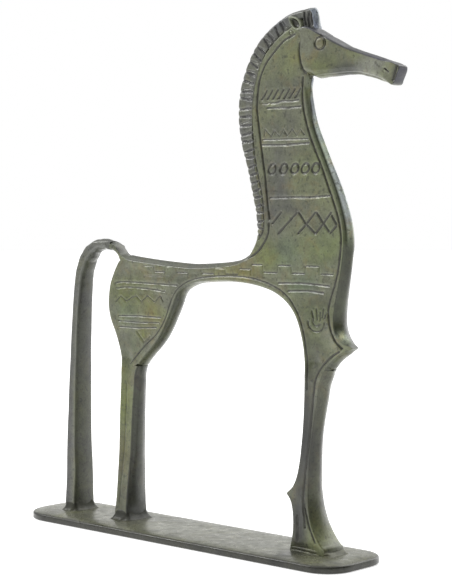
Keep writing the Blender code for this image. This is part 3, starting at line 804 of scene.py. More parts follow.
def trunk_engraving():
    cutter = Engraving()
    curve(cutter, *MANE_LINE, half_width=0.7, depth=0.42)
    # a wide cut along the cheek's rear edge; its dark patina also paints the shade of the crease between
    # head and neck
    curve(cutter, *[(x - 0.5, z - 0.4) for x, z in CHEEK], half_width=1.3, depth=0.5)
    for pattern in (
        mane_notches,
        haunch_pattern,
        back_pattern,
        chest_pattern,
        neck_pattern,
        border_pattern,
        foreleg_pattern,
        hind_leg_pattern,
    ):
        pattern(cutter)
    return cutter.close()


# ---- materials

def grey(value):
    return (value, value, value, 1.0)


class Patina:
    """Builds one node material. Colours are linear and feature sizes are in millimetres."""

    def __init__(self, name):
        self.made = bpy.data.materials.new(name)
        self.made.use_nodes = True
        self.tree = self.made.node_tree
        self.shader = self.tree.nodes["Principled BSDF"]
        self.places = self.tree.nodes.new("ShaderNodeTexCoord").outputs["Object"]

    def noise(self, size, detail, roughness, distortion=0.0):
        node = self.tree.nodes.new("ShaderNodeTexNoise")
        self.tree.links.new(self.places, node.inputs["Vector"])
        node.inputs["Scale"].default_value = 1 / (size * MM)
        node.inputs["Detail"].default_value = detail
        node.inputs["Roughness"].default_value = roughness
        node.inputs["Distortion"].default_value = distortion
        return node.outputs["Fac"]

    def attribute(self, name, output):
        node = self.tree.nodes.new("ShaderNodeAttribute")
        node.attribute_name = name
        return node.outputs[output]

    def spread(self, value, low, high, to_low=0.0, to_high=1.0):
        node = self.tree.nodes.new("ShaderNodeMapRange")
        self.tree.links.new(value, node.inputs["Value"])
        for key, number in (("From Min", low), ("From Max", high), ("To Min", to_low), ("To Max", to_high)):
            node.inputs[key].default_value = number
        return node.outputs["Result"]

    def times(self, first, second):
        node = self.tree.nodes.new("ShaderNodeMath")
        node.operation = "MULTIPLY"
        self.put(first, node.inputs[0])
        self.put(second, node.inputs[1])
        return node.outputs["Value"]

    def put(self, value, socket):
        if isinstance(value, bpy.types.NodeSocket):
            self.tree.links.new(value, socket)
        else:
            socket.default_value = value

    def mix(self, factor, first, second, blend="MIX"):
        node = self.tree.nodes.new("ShaderNodeMix")
        node.data_type = "RGBA"
        node.blend_type = blend
        self.put(factor, node.inputs["Factor"])
        self.put(first, node.inputs[6])
        self.put(second, node.inputs[7])
        return node.outputs[2]

    def bump(self, *layers):
        """Height layers, each a value, its height in millimetres and its strength."""
        normal = None
        for value, height, strength in layers:
            node = self.tree.nodes.new("ShaderNodeBump")
            self.tree.links.new(value, node.inputs["Height"])
            node.inputs["Distance"].default_value = height * MM
            node.inputs["Strength"].default_value = strength
            if normal is not None:
                self.tree.links.new(normal, node.inputs["Normal"])
            normal = node.outputs["Normal"]
        self.tree.links.new(normal, self.shader.inputs["Normal"])


def bronze(name, body, second, warm, dark, pale, roughness, wear=0.5, wax=0.5):
    """Waxed bronze patina: clouded greens, brown stains, dark hollows, rubbed edges and fine pitting."""
    patina = Patina(name)
    clouds = patina.noise(16, 6.0, 0.62, 0.4)
    blotches = patina.noise(5.0, 6.0, 0.65, 0.3)
    stains = patina.noise(9, 5.0, 0.6, 0.8)
    grain = patina.noise(0.9, 4.0, 0.7)
    pits = patina.noise(1.9, 3.0, 0.5)
    colour = patina.mix(patina.spread(clouds, 0.4, 0.6), (*body, 1), (*second, 1))
    colour = patina.mix(patina.spread(stains, 0.52, 0.68, 0.0, 0.65), colour, (*warm, 1))
    colour = patina.mix(patina.spread(blotches, 0.42, 0.64, 0.0, 0.42), colour, (*dark, 1))
    colour = patina.mix(patina.spread(grain, 0.4, 0.66, 0.0, 0.16), colour, (*pale, 1))
    colour = patina.mix(patina.spread(pits, 0.34, 0.4, 0.55, 0.0), colour, (*dark, 1))
    relief = patina.attribute("relief", "Fac")
    rubbed = patina.times(patina.spread(relief, 0.08, 0.85), patina.spread(blotches, 0.4, 0.58, 0.25, 1.0))
    colour = patina.mix(patina.times(rubbed, wear), colour, (*pale, 1))
    # the tone attribute brings the patina patches and each piece's painted shade and painted highlights
    colour = patina.mix(1.0, colour, patina.attribute("tone", "Color"), "MULTIPLY")
    colour = patina.mix(patina.spread(relief, -0.12, -0.65, 0.0, 0.92), colour, (*dark, 1))
    patina.put(colour, patina.shader.inputs["Base Color"])
    rough = patina.spread(blotches, 0.35, 0.65, roughness - 0.06, roughness + 0.1)
    patina.put(rough, patina.shader.inputs["Roughness"])
    patina.bump((clouds, 1.0, 0.25), (blotches, 0.45, 0.4), (grain, 0.09, 0.4), (pits, 0.14, 0.25))
    patina.shader.inputs["Metallic"].default_value = 0.25
    patina.shader.inputs["Specular IOR Level"].default_value = 0.5
    patina.shader.inputs["Coat Weight"].default_value = wax
    patina.shader.inputs["Coat Roughness"].default_value = 0.24
    return patina.made


GREEN = bronze("green_patina", (0.128, 0.142, 0.066), (0.098, 0.104, 0.064), (0.140, 0.112, 0.040),
               (0.018, 0.018, 0.010), (0.30, 0.32, 0.23), 0.40)
DARK = bronze("dark_patina", (0.088, 0.092, 0.062), (0.072, 0.073, 0.064), (0.100, 0.096, 0.044),
              (0.014, 0.014, 0.012), (0.26, 0.27, 0.25), 0.38)
BASE = bronze("base_patina", (0.180, 0.184, 0.124), (0.140, 0.142, 0.100), (0.150, 0.146, 0.068),
              (0.020, 0.020, 0.015), (0.32, 0.33, 0.29), 0.30, 0.4, 0.2)
BRAZE = bronze("braze_patina", (0.112, 0.116, 0.060), (0.086, 0.088, 0.056), (0.110, 0.104, 0.034),
               (0.015, 0.015, 0.010), (0.30, 0.31, 0.26), 0.46, wax=0.1)


# ---- pieces of the horse

def stand_out(outward, bulge, radius):
    """How far the middle of a rounded edge stands out, to look as wide as a square one."""
    return np.abs(outward[:, 0]) * (bulge + 0.5 * radius)


HOCK_BULGE = 1.5  # how far the front of the hock stands out
HOCK_BULGE_REACH = 2.5  # how fast that fades up and down


def body_edge(places, outward):
    """Edges of the trunk and the legs. Those that face forwards or up are fuller than the others."""
    forward, upward, backward, _ = facing(outward)
    upward = upward * ease(places[:, 1], 120, 128)
    neck = ease(places[:, 1], 118, 150)
    toe = ease(places[:, 1], 22, 10)
    bulge = 0.7 + (0.9 + 0.2 * neck - 0.9 * toe) * forward + 0.1 * backward + 1.2 * upward
    radius = 0.6 + (0.2 + 0.35 * neck) * forward + 0.2 * upward
    throat = ease(places[:, 1], 148, 166) * ease(places[:, 1], 232, 222)
    behind = places[:, 0] < BETWEEN_PAIRS
    shank = ease(places[:, 1], 84, 76) + np.where(behind, -0.5, 0.3) * toe
    proud = stand_out(outward, bulge, radius) + 1.4 * upward + (0.8 * shank - 1.25 * throat) * forward
    bulging = np.exp(-np.abs(places[:, 1] - HOCK) / HOCK_BULGE_REACH) * (behind & (forward > 0.3))
    proud += HOCK_BULGE * bulging
    return bulge, radius, proud


def crest_edge(places, outward):
    bulge = np.full(len(places), 1.0)
    radius = np.full(len(places), 0.7)
    return bulge, radius, stand_out(outward, bulge, radius)


def tail_edge(places, outward):
    """The tail is square-edged low down and rounder over the arch."""
    arch = ease(places[:, 1], 120, 142)
    bulge = 0.7 + 0.6 * arch
    radius = 0.6 + 0.8 * arch
    forward, upward, _, _ = facing(outward)
    foot = ease(places[:, 1], 32, 8)
    proud = stand_out(outward, bulge, radius) + 1.1 * arch * upward + (1.0 - 0.9 * foot) * forward
    return bulge, radius, proud


def head_edge(places, outward):
    """A crisp brow and muzzle, with a full round cheek and jaw."""
    _, above, backward, downward = facing(outward)
    below = downward * ease(places[:, 0], 128, 118)
    behind = backward * ease(places[:, 0], 84, 77)
    soft = np.maximum(below, behind)
    muzzle = ease(places[:, 0], 120, 127)
    bulge = 0.5 + 0.6 * soft - 0.35 * muzzle
    radius = 0.9 + 1.3 * soft - 0.6 * muzzle
    return bulge, radius, 0.6 * stand_out(outward, bulge, radius) * (1 - behind) + 0.3 * above


def with_root(front, rear):
    """Joins the front and rear of a leg, from the foot up, and carries them down into the base."""
    root = base_top() - ROOT_DEPTH
    return anticlockwise([(front[0][0], root), *front, *rear[::-1], (rear[0][0], root)])


def foot_level():
    """Just above the top of the base."""
    return base_top() + 0.35


def hind_leg_outline():
    """The side view of the hind leg, from rays along x at many heights."""
    levels = np.linspace(foot_level(), HOCK - 0.05, 26)
    rear = [(hit("hind_leg", (-FAR, 0, z), (1, 0, 0)).x, z) for z in levels]
    front = [(hit("hind_leg", (FAR, 0, z), (-1, 0, 0)).x, z) for z in levels]
    return with_root(front, rear)


def foreleg_outline():
    """The rim of the foreleg above the base, carried down into it."""
    loop = side_outline("foreleg")
    above = loop[:, 1] > foot_level() - 0.1
    first = int(np.argmax(above & ~np.roll(above, 1)))
    loop = np.roll(loop, -first, axis=0)[: int(above.sum())]
    root = base_top() - ROOT_DEPTH
    return anticlockwise([(loop[0][0], root), *loop, (loop[-1][0], root)])


def tail_outline():
    """Up the outside of the tail, over the arch and back down the inside."""
    levels = np.linspace(foot_level(), ARCH_CENTRE[1], 32)
    outside = [(hit("tail", (-FAR, 0, z), (1, 0, 0)).x, z) for z in levels]
    inside = [(hit("tail", (BETWEEN_LEGS, 0, z), (-1, 0, 0)).x, z) for z in levels]
    for turn in np.radians(np.arange(174, 60, -7)):
        along = Vector((math.cos(turn), 0, math.sin(turn)))
        centre = Vector((ARCH_CENTRE[0], 0, ARCH_CENTRE[1]))
        outer = hit("tail", centre + 40 * along, -along)
        inner = hit("tail", centre, along)
        if outer.x < TAIL_JOINT - 1.5:
            outside.append((outer.x, outer.z))
        if inner.x < TAIL_JOINT - 1.5:
            inside.append((inner.x, inner.z))
    for run in (outside, inside):
        (x0, z0), (x1, z1) = run[-2:]
        run.append((TAIL_JOINT, z1 + (z1 - z0) / (x1 - x0) * (TAIL_JOINT - x1)))
    return with_root(outside, inside)


def head_outline():
    """The head from the side: brow and jaw from rays, a round cheek and a sloping end to the muzzle."""
    low, high = node_box("head")
    top = [(x, hit("head", (x, 0, FAR), (0, 0, -1)).z) for x in np.linspace(low.x + 0.6, high.x - 1.4, 24)]
    bottom = [(x, hit("head", (x, 0, 0), (0, 0, 1)).z) for x in np.linspace(84.5, high.x - 5.6, 16)]
    nose = high.x - 0.05
    end = [(nose - back, top[-1][1] - 0.6 - down) for back, down in MUZZLE_DROP]
    return anticlockwise([*bottom, *end[::-1], *top[::-1], *CHEEK[::-1]])


def forelock_outline():
    """The forelock, drawn down at its root until it reaches the brow."""
    loop = side_outline("forelock")
    loop[:, 1] -= 1.7 * ease(loop[:, 1], FORELOCK_ROOT + 2.0, FORELOCK_ROOT)
    return loop


def forelock_pattern():
    """Strands, as upright cuts."""
    cutter = Engraving()
    curve(cutter, (75.8, 260.2), (75.6, 257), (76.4, 253), depth=0.7)
    curve(cutter, (78.4, 258.4), (78.0, 255.6), (78.8, 252.4), half_width=0.9, depth=0.8)
    curve(cutter, (80.2, 259.8), (79.9, 256.4), (80.8, 252.6), half_width=0.6, depth=0.5)
    return cutter.close()


def mane_notches(cutter):
    """Cuts across the mane, square to the line where it meets the neck."""
    run = smooth_run(MANE_LINE, 1.0)
    lengths = np.cumsum([0.0, *np.linalg.norm(np.diff(run, axis=0), axis=1)])
    for index, place in enumerate(np.arange(2.0, lengths[-1] - 1.0, MANE_SPACING)):
        spot = np.array([np.interp(place, lengths, run[:, axis]) for axis in (0, 1)])
        ahead = np.array([np.interp(place + 1, lengths, run[:, axis]) for axis in (0, 1)]) - spot
        out = np.array([-ahead[1], ahead[0]]) / np.linalg.norm(ahead)
        lean = 0.1 * math.sin(2.7 * index) * ahead
        cutter.cut([spot + 0.2 * out, spot + 14 * (out + lean)], 0.85, 0.62)
        if index < MANE_PLAIN_BLOCKS:
            continue
        strand = spot + (1.3 + 0.8 * math.sin(1.9 * index)) * ahead
        reach = 5.5 + 2.0 * math.sin(3.3 * index)
        cutter.cut([strand + 1.2 * out, strand + reach * (out - 0.15 * ahead)], 0.5, 0.28)
    return cutter


CORNER_STEPS = 8  # to a quarter turn
SIDE_STEP = 2.0  # widest spacing of a ring's points


def rounded_ring(rear, front, rear_half, front_half, corners, z):
    """A level ring, anticlockwise seen from above. corners are the radii at the front and at the rear."""
    ring_points = []
    stops = (
        (front, front_half, 0), (rear, rear_half, 90), (rear, -rear_half, 180), (front, -front_half, 270),
    )
    for x, y, start in stops:
        corner = corners[0 if x == front else 1]
        centre = (x - math.copysign(corner, x - (rear + front) / 2), y - math.copysign(corner, y))
        for turn in np.radians(np.linspace(start, start + 90, CORNER_STEPS + 1)):
            ring_points.append((centre[0] + corner * math.cos(turn), centre[1] + corner * math.sin(turn)))
    spread = []
    for start, end in zip(ring_points, ring_points[1:] + ring_points[:1]):
        steps = max(1, round(math.dist(start, end) / SIDE_STEP))
        start = np.array(start)
        along = np.array(end) - start
        spread += [tuple(start + along * k / steps) for k in range(steps)]
    return [(x, y, z) for x, y in spread]


def ring_faces(rows, size, joined=False):
    """Faces between rows of points that follow each other, wound so that they face away from the axis."""
    faces = []
    pairs = list(zip(range(rows), range(1, rows)))
    if joined:
        pairs.append((rows - 1, 0))
    for lower, upper in pairs:
        for index in range(size):
            following = (index + 1) % size
            low = lower * size
            high = upper * size
            faces.append([low + index, low + following, high + following, high + index])
    return faces


BASE_CORNERS = (15.0, 18.8)  # radii of the corners at the front and at the rear
BASE_EDGE = (  # how far in from the widest outline, and height
    (0.55, 0.0), (0.18, 0.2), (0.0, 0.6), (0.0, 1.6), (0.0, 2.5), (0.12, 2.95), (0.45, 3.3), (0.9, 3.5),
)
BASE_CROWN = 1.08  # rise of the top above its edge
BASE_CROWN_RUN = 3.4  # most of that rise is within this distance of the edge
BASE_SAG = 0.14  # depth of the hollows in the top
BASE_TOP_STEP = 1.8  # spacing of points on the top
BASE_EDGE_SHADE = 0.82  # painted shade: how much darker the edge is than the top


def build_base():
    """The base plate: a rounded edge and a slightly crowned, uneven top over a flat underside."""
    _, high = node_box("base_plate")
    points = []
    marks = []
    shades = []
    for margin, z in BASE_EDGE:
        x = high.x - margin
        y = high.y - margin
        level = rounded_ring(-x, x, y, y, [corner - margin for corner in BASE_CORNERS], z)
        points += level
        marks += [0.5 * float(ease(z, 3.4, 4.0))] * len(level)
        shades += [1 - BASE_EDGE_SHADE * float(ease(z, 3.9, 3.2))] * len(level)
    size = len(level)
    rows = len(BASE_EDGE)
    faces = [list(reversed(range(size)))] + ring_faces(rows, size)
    edge = np.array([(x, y) for x, y, _ in level])
    top, triangles, ring_places = side_mesh(edge, Engraving(), BASE_TOP_STEP)
    gap = clearance(top, edge, np.roll(edge, -1, axis=0))
    sag = BASE_SAG * ripple(0.8 * top[:, 0], 1.3 * top[:, 1], 2.0) * ease(gap, 0.0, 5.0)
    heights = BASE_EDGE[-1][1] + BASE_CROWN * (1 - np.exp(-gap / BASE_CROWN_RUN)) - sag
    first = len(points)
    points += [(x, y, z) for (x, y), z in zip(top, heights)]
    marks += list(0.5 * np.exp(-gap / 0.8))
    swap = {place: (rows - 1) * size + index for index, place in enumerate(ring_places)}
    faces += [[swap.get(corner, first + corner) for corner in face] for face in triangles]
    shades += [1.0] * len(top)
    finish_mesh("base", points, faces, "base_plate", BASE, marks, shades)


FILLET_TURNS = (0, 12, 24, 36, 48, 60, 72, 84)  # degrees along the flare's hollow curve
FILLET_SIDES = 120
FILLET_SINK = 0.2  # how far the top of a flare ends inside the leg
FILLET_LAP = 0.7  # a flare starts this much below foot_level
FILLET_UNDER = -0.4  # height of its lowest rows from there, inside the base
FOOT_CORNER = 1.6  # radius of a foot's corners, and how far in its width is measured


def foot_section(leg, z, front_from=FAR):
    """Rear and front of a leg at a height, with the half width near each."""
    rear = hit(leg, (-FAR, 0, z), (1, 0, 0)).x
    front = hit(leg, (front_from, 0, z), (-1, 0, 0)).x
    halves = [-hit(leg, (x, -FAR, z), (0, 1, 0)).y for x in (rear + FOOT_CORNER, front - FOOT_CORNER)]
    return rear, front, *halves


def build_fillet(name, node, leg, reach, height, side_share, lead, root_shade=0.3, front_from=FAR):
    """A hollow-curved flare of braze round a foot, wide before and behind it and narrow at its sides.

    lead is how far the foot's rounded front stands ahead of the node's outline. The flare's colour is
    darkened by painted shade, most at its top against the leg, where root_shade gives how dark.
    """
    floor = foot_level() - FILLET_LAP
    profile = [(-1.2, FILLET_UNDER), (reach, FILLET_UNDER)]
    for turn in np.radians(FILLET_TURNS):
        offset = (reach + FILLET_SINK) * (1 - math.sin(turn)) - FILLET_SINK
        profile.append((offset, height * (1 - math.cos(turn))))
    profile.append((-1.4, height + 0.2))
    points = []
    marks = []
    shades = []
    for offset, rise in profile:
        level = max(floor + rise, foot_level() + 0.1)
        rear, front, rear_half, front_half = foot_section(leg, level, front_from)
        aside = offset * (side_share if offset > 0 else 1.0)
        rear, front = rear - offset, front + lead + offset
        corner = FOOT_CORNER + 0.6 * max(offset, 0.0)
        halves = (rear_half + aside, front_half + aside)
        level_ring = rounded_ring(rear, front, *halves, (corner, corner), floor + rise)
        swell = 0.05 * ease(offset, 0, reach)
        middle = (rear + front) / 2
        for index, (x, y, z) in enumerate(resampled(level_ring, FILLET_SIDES)):
            turn = 2 * math.pi * index / FILLET_SIDES
            stretch = 1 + swell * (math.sin(5 * turn + 1) + 0.6 * math.sin(11 * turn))
            points.append((middle + (x - middle) * (1 + 0.4 * (stretch - 1)), y * stretch, z))
            marks.append(0.1 * ease(math.sin(7 * turn + 2), -0.2, 1) * ease(offset, 0, reach))
            # painted shade: darkest at the top of the flare, lighter out towards the base
            shades.append(root_shade + (0.8 - root_shade) * ease(offset, 0.3 * reach, reach))
    faces = ring_faces(len(profile), FILLET_SIDES, joined=True)
    finish_mesh(name, points, faces, node, BRAZE, marks, shades)


def resampled(ring_points, count):
    """The closed ring with evenly spread points."""
    loop = np.array(ring_points + ring_points[:1])
    run = np.concatenate([[0.0], np.cumsum(np.linalg.norm(np.diff(loop, axis=0), axis=1))])
    places = np.linspace(0, run[-1], count, endpoint=False)
    return np.stack([np.interp(places, run, loop[:, axis]) for axis in range(3)], axis=1)


def boss(name, node, centre, side, rings, outline, material):
    """A low raised piece on a side of the head, from rings of (share of the outline, y, relief)."""
    sides = 48
    points = []
    marks = []
    for share, y, mark in rings:
        for turn in np.arange(sides) * 2 * math.pi / sides:
            x, z = outline(turn)
            points.append((centre[0] + share * x, side * y, centre[1] + share * z))
        marks += [mark] * sides
    faces = ring_faces(len(rings), sides)
    faces.append(list(reversed(range(sides))))
    last = len(points) - sides
    points.append((centre[0], side * rings[-1][1], centre[1]))
    marks.append(rings[-1][2])
    faces += [[last + index, last + (index + 1) % sides, len(points) - 1] for index in range(sides)]
    if side > 0:
        faces = [face[::-1] for face in faces]
    finish_mesh(name, points, faces, node, material, marks)


EAR_CENTRE = (71.3, 254.1)
EAR_LENGTH = 5.0  # from the centre to the tip
EAR_WIDTH = 2.5
EAR_TILT = math.radians(-40.0)
EAR_RINGS = (  # share of the outline, share of the height, relief
    (1.0, -0.9, -0.2), (1.0, 0.3, 0.3), (0.98, 0.7, 0.6), (0.92, 0.95, 1.0), (0.83, 1.0, 1.0),
    (0.74, 0.9, 0.8), (0.66, 0.6, 0.0), (0.56, 0.3, -0.7), (0.42, 0.1, -0.9), (0.2, 0.05, -0.8),
)
EYE_RINGS = (  # share of the radius, depth below the outermost point, relief
    (1.0, 1.4, -0.6), (1.0, 0.45, -0.3), (0.95, 0.26, 0.1), (0.85, 0.13, 0.3), (0.6, 0.03, 0.3),
    (0.3, 0.0, 0.25),
)


def ear_outline(turn):
    """A leaf: narrow at the tip that points up and back, broad at the root on the brow."""
    along = EAR_LENGTH * math.cos(turn)
    across = EAR_WIDTH * math.sin(turn) * (0.45 + 0.75 * abs(math.cos(turn / 2)))
    return (
        along * math.cos(EAR_TILT) - across * math.sin(EAR_TILT),
        along * math.sin(EAR_TILT) + across * math.cos(EAR_TILT),
    )


def build_ears_and_eyes():
    for side, name in ((-1, "right"), (1, "left")):
        low, high = node_box("ear_" + name)
        inner = min(abs(low.y), abs(high.y))
        outer = max(abs(low.y), abs(high.y))
        rise = outer - inner
        rings = [(share, inner + rise * height, mark) for share, height, mark in EAR_RINGS]
        boss("ear_leaf_" + name, "ear_" + name, EAR_CENTRE, side, rings, ear_outline, GREEN)
        low, high = node_box("eye_" + name)
        outer = max(abs(low.y), abs(high.y))
        radius = (high.x - low.x) / 2
        rings = [(share, outer - drop, mark) for share, drop, mark in EYE_RINGS]
        centre = ((low.x + high.x) / 2, (low.z + high.z) / 2)
        boss("eye_stud_" + name, "eye_" + name, centre, side, rings,
             lambda turn: (radius * math.cos(turn), radius * math.sin(turn)), GREEN)


CHEEK_CENTRE = (83, 238)
CHEEK_SPREAD = (8, 7)
CHEEK_FULLNESS = 0.5  # added to the half thickness there
MUZZLE_FULLNESS = 0.45  # and at the muzzle's end


def head_half():
    """Half thickness of the head, a little fuller in the cheek and at the muzzle's end."""
    measured = thickness_map("head", step=1.0)

    def sample(x, z):
        forward = (x - CHEEK_CENTRE[0]) / CHEEK_SPREAD[0]
        up = (z - CHEEK_CENTRE[1]) / CHEEK_SPREAD[1]
        cheek = np.exp(-(forward**2 + up**2))
        return measured(x, z) + CHEEK_FULLNESS * cheek + MUZZLE_FULLNESS * ease(x, 121, 127)

    return sample


def head_pattern():
    cutter = Engraving()
    low, high = node_box("eye_right")
    x = (low.x + high.x) / 2
    z = (low.z + high.z) / 2
    ring(cutter, x, z, 2.95, 2.95, half_width=0.6, depth=0.45)
    line(cutter, (129.8, 231.0), (128.9, 228.0), (127.9, 224.5), half_width=1.0, depth=0.6)
    line(cutter, (122.8, 229.8), (125.2, 228.2), half_width=0.5, depth=0.6)
    return cutter.close()


def across_joints(measured):
    """Half thickness that passes smoothly over the bevels on both sides of the joints in the legs."""
    def sample(x, z):
        half = measured(x, z)
        for joint, start, end in LEG_JOINTS:
            share = (np.asarray(z) - joint + JOINT_REACH) / (2 * JOINT_REACH)
            below = measured(x, joint - JOINT_REACH + 0 * np.asarray(z))
            above = measured(x, joint + JOINT_REACH + 0 * np.asarray(z))
            inside = (share > 0) & (share < 1) & (x > start) & (x < end)
            half = np.where(inside, below + (above - below) * share, half)
        return half

    return sample


# the same painted light colour on every face it is given to
def even_shade(*colour):
    return lambda places, across: np.tile(colour, (len(places), 1))


CHEST_PAINTED_SHADE = np.array((0.28, 0.31, 0.24))  # these colours multiply the patina; this one is painted shade low on the chest's front
# a painted glint in the hollow over the spur
GLINT = np.array((8.0, 8.4, 10.0))
GLINT_HEIGHT = 107.5
NECK_FRONT = np.array((0.95, 1.0, 0.95))
REFLECTION_BAND_LOW = np.array((4.6, 4.7, 7.4))  # painted reflection: the bright band low on the neck, and high on it
REFLECTION_BAND_HIGH = np.array((2.7, 2.7, 5.2))
BAND_SHADE_LINE = 0.85  # painted shade: how much darker the line beside the band is


def chest_shade(places, across):
    """Painted shade low on the chest, a painted glint in the hollow over the spur, and a painted reflection
    as a bright band up the neck, with a line of painted shade beside it.
    """
    x, heights = places.T
    neck = ease(heights, 146, 168)[:, None]
    throat = ease(heights, 200, 230)
    bright = (1 - throat[:, None]) * REFLECTION_BAND_LOW + throat[:, None] * REFLECTION_BAND_HIGH
    start = -0.98 + 0.5 * throat
    band = ease(across - start, 0.0, 0.22)[:, None]
    upper = (1 - band) * NECK_FRONT + band * bright
    shade_line = BAND_SHADE_LINE * np.exp(-(((across - start + 0.02) / 0.09) ** 2))[:, None]
    glint = np.exp(-(((heights - GLINT_HEIGHT) / 2.2) ** 2) - ((across + 0.5) / 0.6) ** 2) * ease(x, 60, 80)
    lower = CHEST_PAINTED_SHADE + glint[:, None] * GLINT
    return (1 - neck) * lower + neck * upper * (1 - shade_line)


def build_horse():
    trunk_half = across_joints(thickness_map("body_plate", "hind_leg", "foreleg"))
    pattern = trunk_engraving()
    # the last colours given to each casting are painted shade on faces that look forwards or up, and on the
    # forelock's front a painted highlight
    casting("trunk", "body_plate", side_outline("body_plate"), trunk_half, body_edge, GREEN,
            ("hind_leg", "foreleg", "tail", "mane", "head"), pattern, 0.25, chest_shade, (0.65, 0.66, 0.74))
    casting("hind_leg_bar", "hind_leg", hind_leg_outline(), trunk_half, body_edge, GREEN,
            ("body_plate", "base_plate"), pattern, 0.2, even_shade(0.30, 0.31, 0.36))
    casting("foreleg_bar", "foreleg", foreleg_outline(), trunk_half, body_edge, GREEN,
            ("body_plate", "base_plate"), pattern, 0.15, even_shade(0.58, 0.59, 0.50))
    casting("tail_bar", "tail", tail_outline(), thickness_map("tail"), tail_edge, DARK,
            ("body_plate", "base_plate"), None, 0.4, even_shade(0.46, 0.48, 0.42))
    casting("mane_crest", "mane", side_outline("mane"), thickness_map("mane"), crest_edge,
            DARK, ("body_plate", "forelock"), mane_notches(Engraving()).close())
    casting("forelock_tuft", "forelock", forelock_outline(), thickness_map("forelock"), crest_edge,
            DARK, ("mane",), forelock_pattern(), 0.1, even_shade(3.0, 3.3, 4.6))
    casting("head_casting", "head", head_outline(), head_half(), head_edge, GREEN, (),
            head_pattern(), 0.0, even_shade(0.10, 0.10, 0.36), (0.22, 0.22, 0.46))
    build_ears_and_eyes()
    build_base()
    build_fillet("hind_foot_braze", "hind_foot_fillet", "hind_leg", 4.4, 6.0, 0.5, 1.0)
    build_fillet("tail_foot_braze", "tail_foot_fillet", "tail", 3.8, 5.5, 0.45, 0.9,
                 front_from=BETWEEN_LEGS)
    build_fillet("fore_foot_braze", "fore_foot_fillet", "foreleg", 3.0, 2.4, 0.4, 0.6, root_shade=0.9)


# ---- floor, light and camera

CAMERA_PLACE = (566.7, -590.9, 165.5)
CAMERA_YAW = 42.61  # degrees from +Y towards -X
CAMERA_PITCH = 2.83  # degrees below level
CAMERA_LENS = 100.04  # on the sensor's 36 mm long side


def build_camera():
    data = bpy.data.cameras.new("camera")
    data.lens = CAMERA_LENS
    data.sensor_width = 36.0
    data.clip_start = 0.01
    data.clip_end = 50.0
    made = add_object("camera", data)
    made.location = Vector(CAMERA_PLACE) * MM
    made.rotation_euler = (math.radians(90 - CAMERA_PITCH), 0.0, math.radians(CAMERA_YAW))
    bpy.context.scene.camera = made


FLOOR_SIDES = 96
FLOOR_RADIUS = 6.0
FLOOR_LEVEL = -0.0002  # just under the base, so that the two faces don't coincide


def build_floor():
    turns = [2 * math.pi * index / FLOOR_SIDES for index in range(FLOOR_SIDES)]
    points = [(FLOOR_RADIUS * math.cos(turn), FLOOR_RADIUS * math.sin(turn), FLOOR_LEVEL) for turn in turns]
    mesh = bpy.data.meshes.new("floor")
    mesh.from_pydata(points, [], [list(range(FLOOR_SIDES))])
    paper = bpy.data.materials.new("paper")
    paper.use_nodes = True
    shader = paper.node_tree.nodes["Principled BSDF"]
    shader.inputs["Base Color"].default_value = grey(0.9)
    shader.inputs["Emission Color"].default_value = grey(1.0)
    shader.inputs["Emission Strength"].default_value = 0.55
    shader.inputs["Roughness"].default_value = 0.9
    shader.inputs["Specular IOR Level"].default_value = 0.1
    mesh.materials.append(paper)
    add_object("floor", mesh)


LAMP_TARGET = (0.0, 0.0, 0.13)


def add_softbox(name, place, size, power):
    data = bpy.data.lights.new(name, "AREA")
    data.shape = "RECTANGLE"
    data.size, data.size_y = size
    data.energy = power
    made = add_object(name, data)
    made.location = place
    made.rotation_euler = (Vector(LAMP_TARGET) - Vector(place)).to_track_quat("-Z", "Y").to_euler()


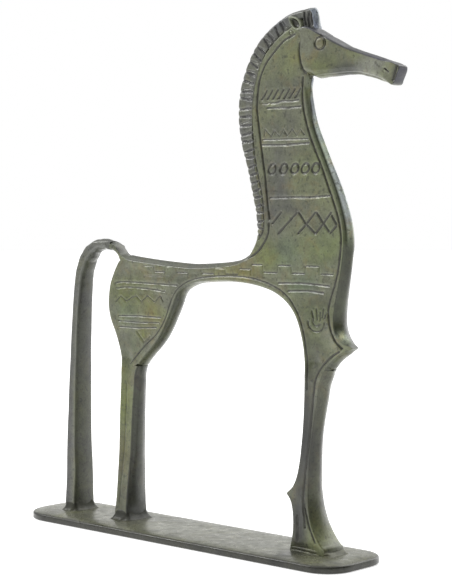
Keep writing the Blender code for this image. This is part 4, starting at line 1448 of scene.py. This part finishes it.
ROOM = 0.34  # brightness of the studio walls
LOBES = (  # a direction, where brightness starts and is full (as a cosine), and how much is added
    ((0.15, 0.98, 0.0), 0.75, 0.97, 1.9),
    ((-0.68, 0.73, 0.05), 0.88, 0.99, 0.72),
    ((0.05, 0.72, 0.68), 0.88, 0.97, 2.2),
    ((-0.7, -0.6, 0.4), 0.0, 0.9, 0.30),
    ((0.0, 0.0, 1.0), 0.5, 1.0, 0.4),
    ((0.9, -0.4, 0.0), 0.2, 0.9, -0.26),
)


def build_studio():
    """The surroundings that the metal reflects: a white screen behind, dim walls and a light ceiling."""
    world = bpy.data.worlds.new("studio")
    world.use_nodes = True
    tree = world.node_tree
    places = tree.nodes.new("ShaderNodeTexCoord").outputs["Generated"]
    strength = None
    for direction, start, full, gain in LOBES:
        toward = tree.nodes.new("ShaderNodeVectorMath")
        toward.operation = "DOT_PRODUCT"
        toward.inputs[1].default_value = direction
        tree.links.new(places, toward.inputs[0])
        lobe = tree.nodes.new("ShaderNodeMapRange")
        for key, number in (("From Min", start), ("From Max", full), ("To Min", 0.0), ("To Max", gain)):
            lobe.inputs[key].default_value = number
        tree.links.new(toward.outputs["Value"], lobe.inputs["Value"])
        total = tree.nodes.new("ShaderNodeMath")
        total.operation = "ADD"
        total.inputs[1].default_value = ROOM
        tree.links.new(lobe.outputs["Result"], total.inputs[0])
        if strength is not None:
            tree.links.new(strength, total.inputs[1])
        strength = total.outputs["Value"]
    background = tree.nodes["Background"]
    background.inputs["Color"].default_value = grey(1.0)
    tree.links.new(strength, background.inputs["Strength"])
    seen = tree.nodes.new("ShaderNodeBackground")
    seen.inputs["Color"].default_value = grey(1.0)
    path = tree.nodes.new("ShaderNodeLightPath")
    choose = tree.nodes.new("ShaderNodeMixShader")
    tree.links.new(path.outputs["Is Camera Ray"], choose.inputs["Fac"])
    tree.links.new(background.outputs["Background"], choose.inputs[1])
    tree.links.new(seen.outputs["Background"], choose.inputs[2])
    tree.links.new(choose.outputs["Shader"], tree.nodes["World Output"].inputs["Surface"])
    bpy.context.scene.world = world


def build_light():
    build_studio()
    add_softbox("top_softbox", (-0.2, -0.2, 1.3), (1.4, 1.4), 4.0)
    add_softbox("key_softbox", (-0.9, -0.62, 0.95), (0.5, 0.5), 7.0)
    bpy.context.scene.view_settings.view_transform = "Standard"


build_camera()
build_floor()
build_light()
build_horse()
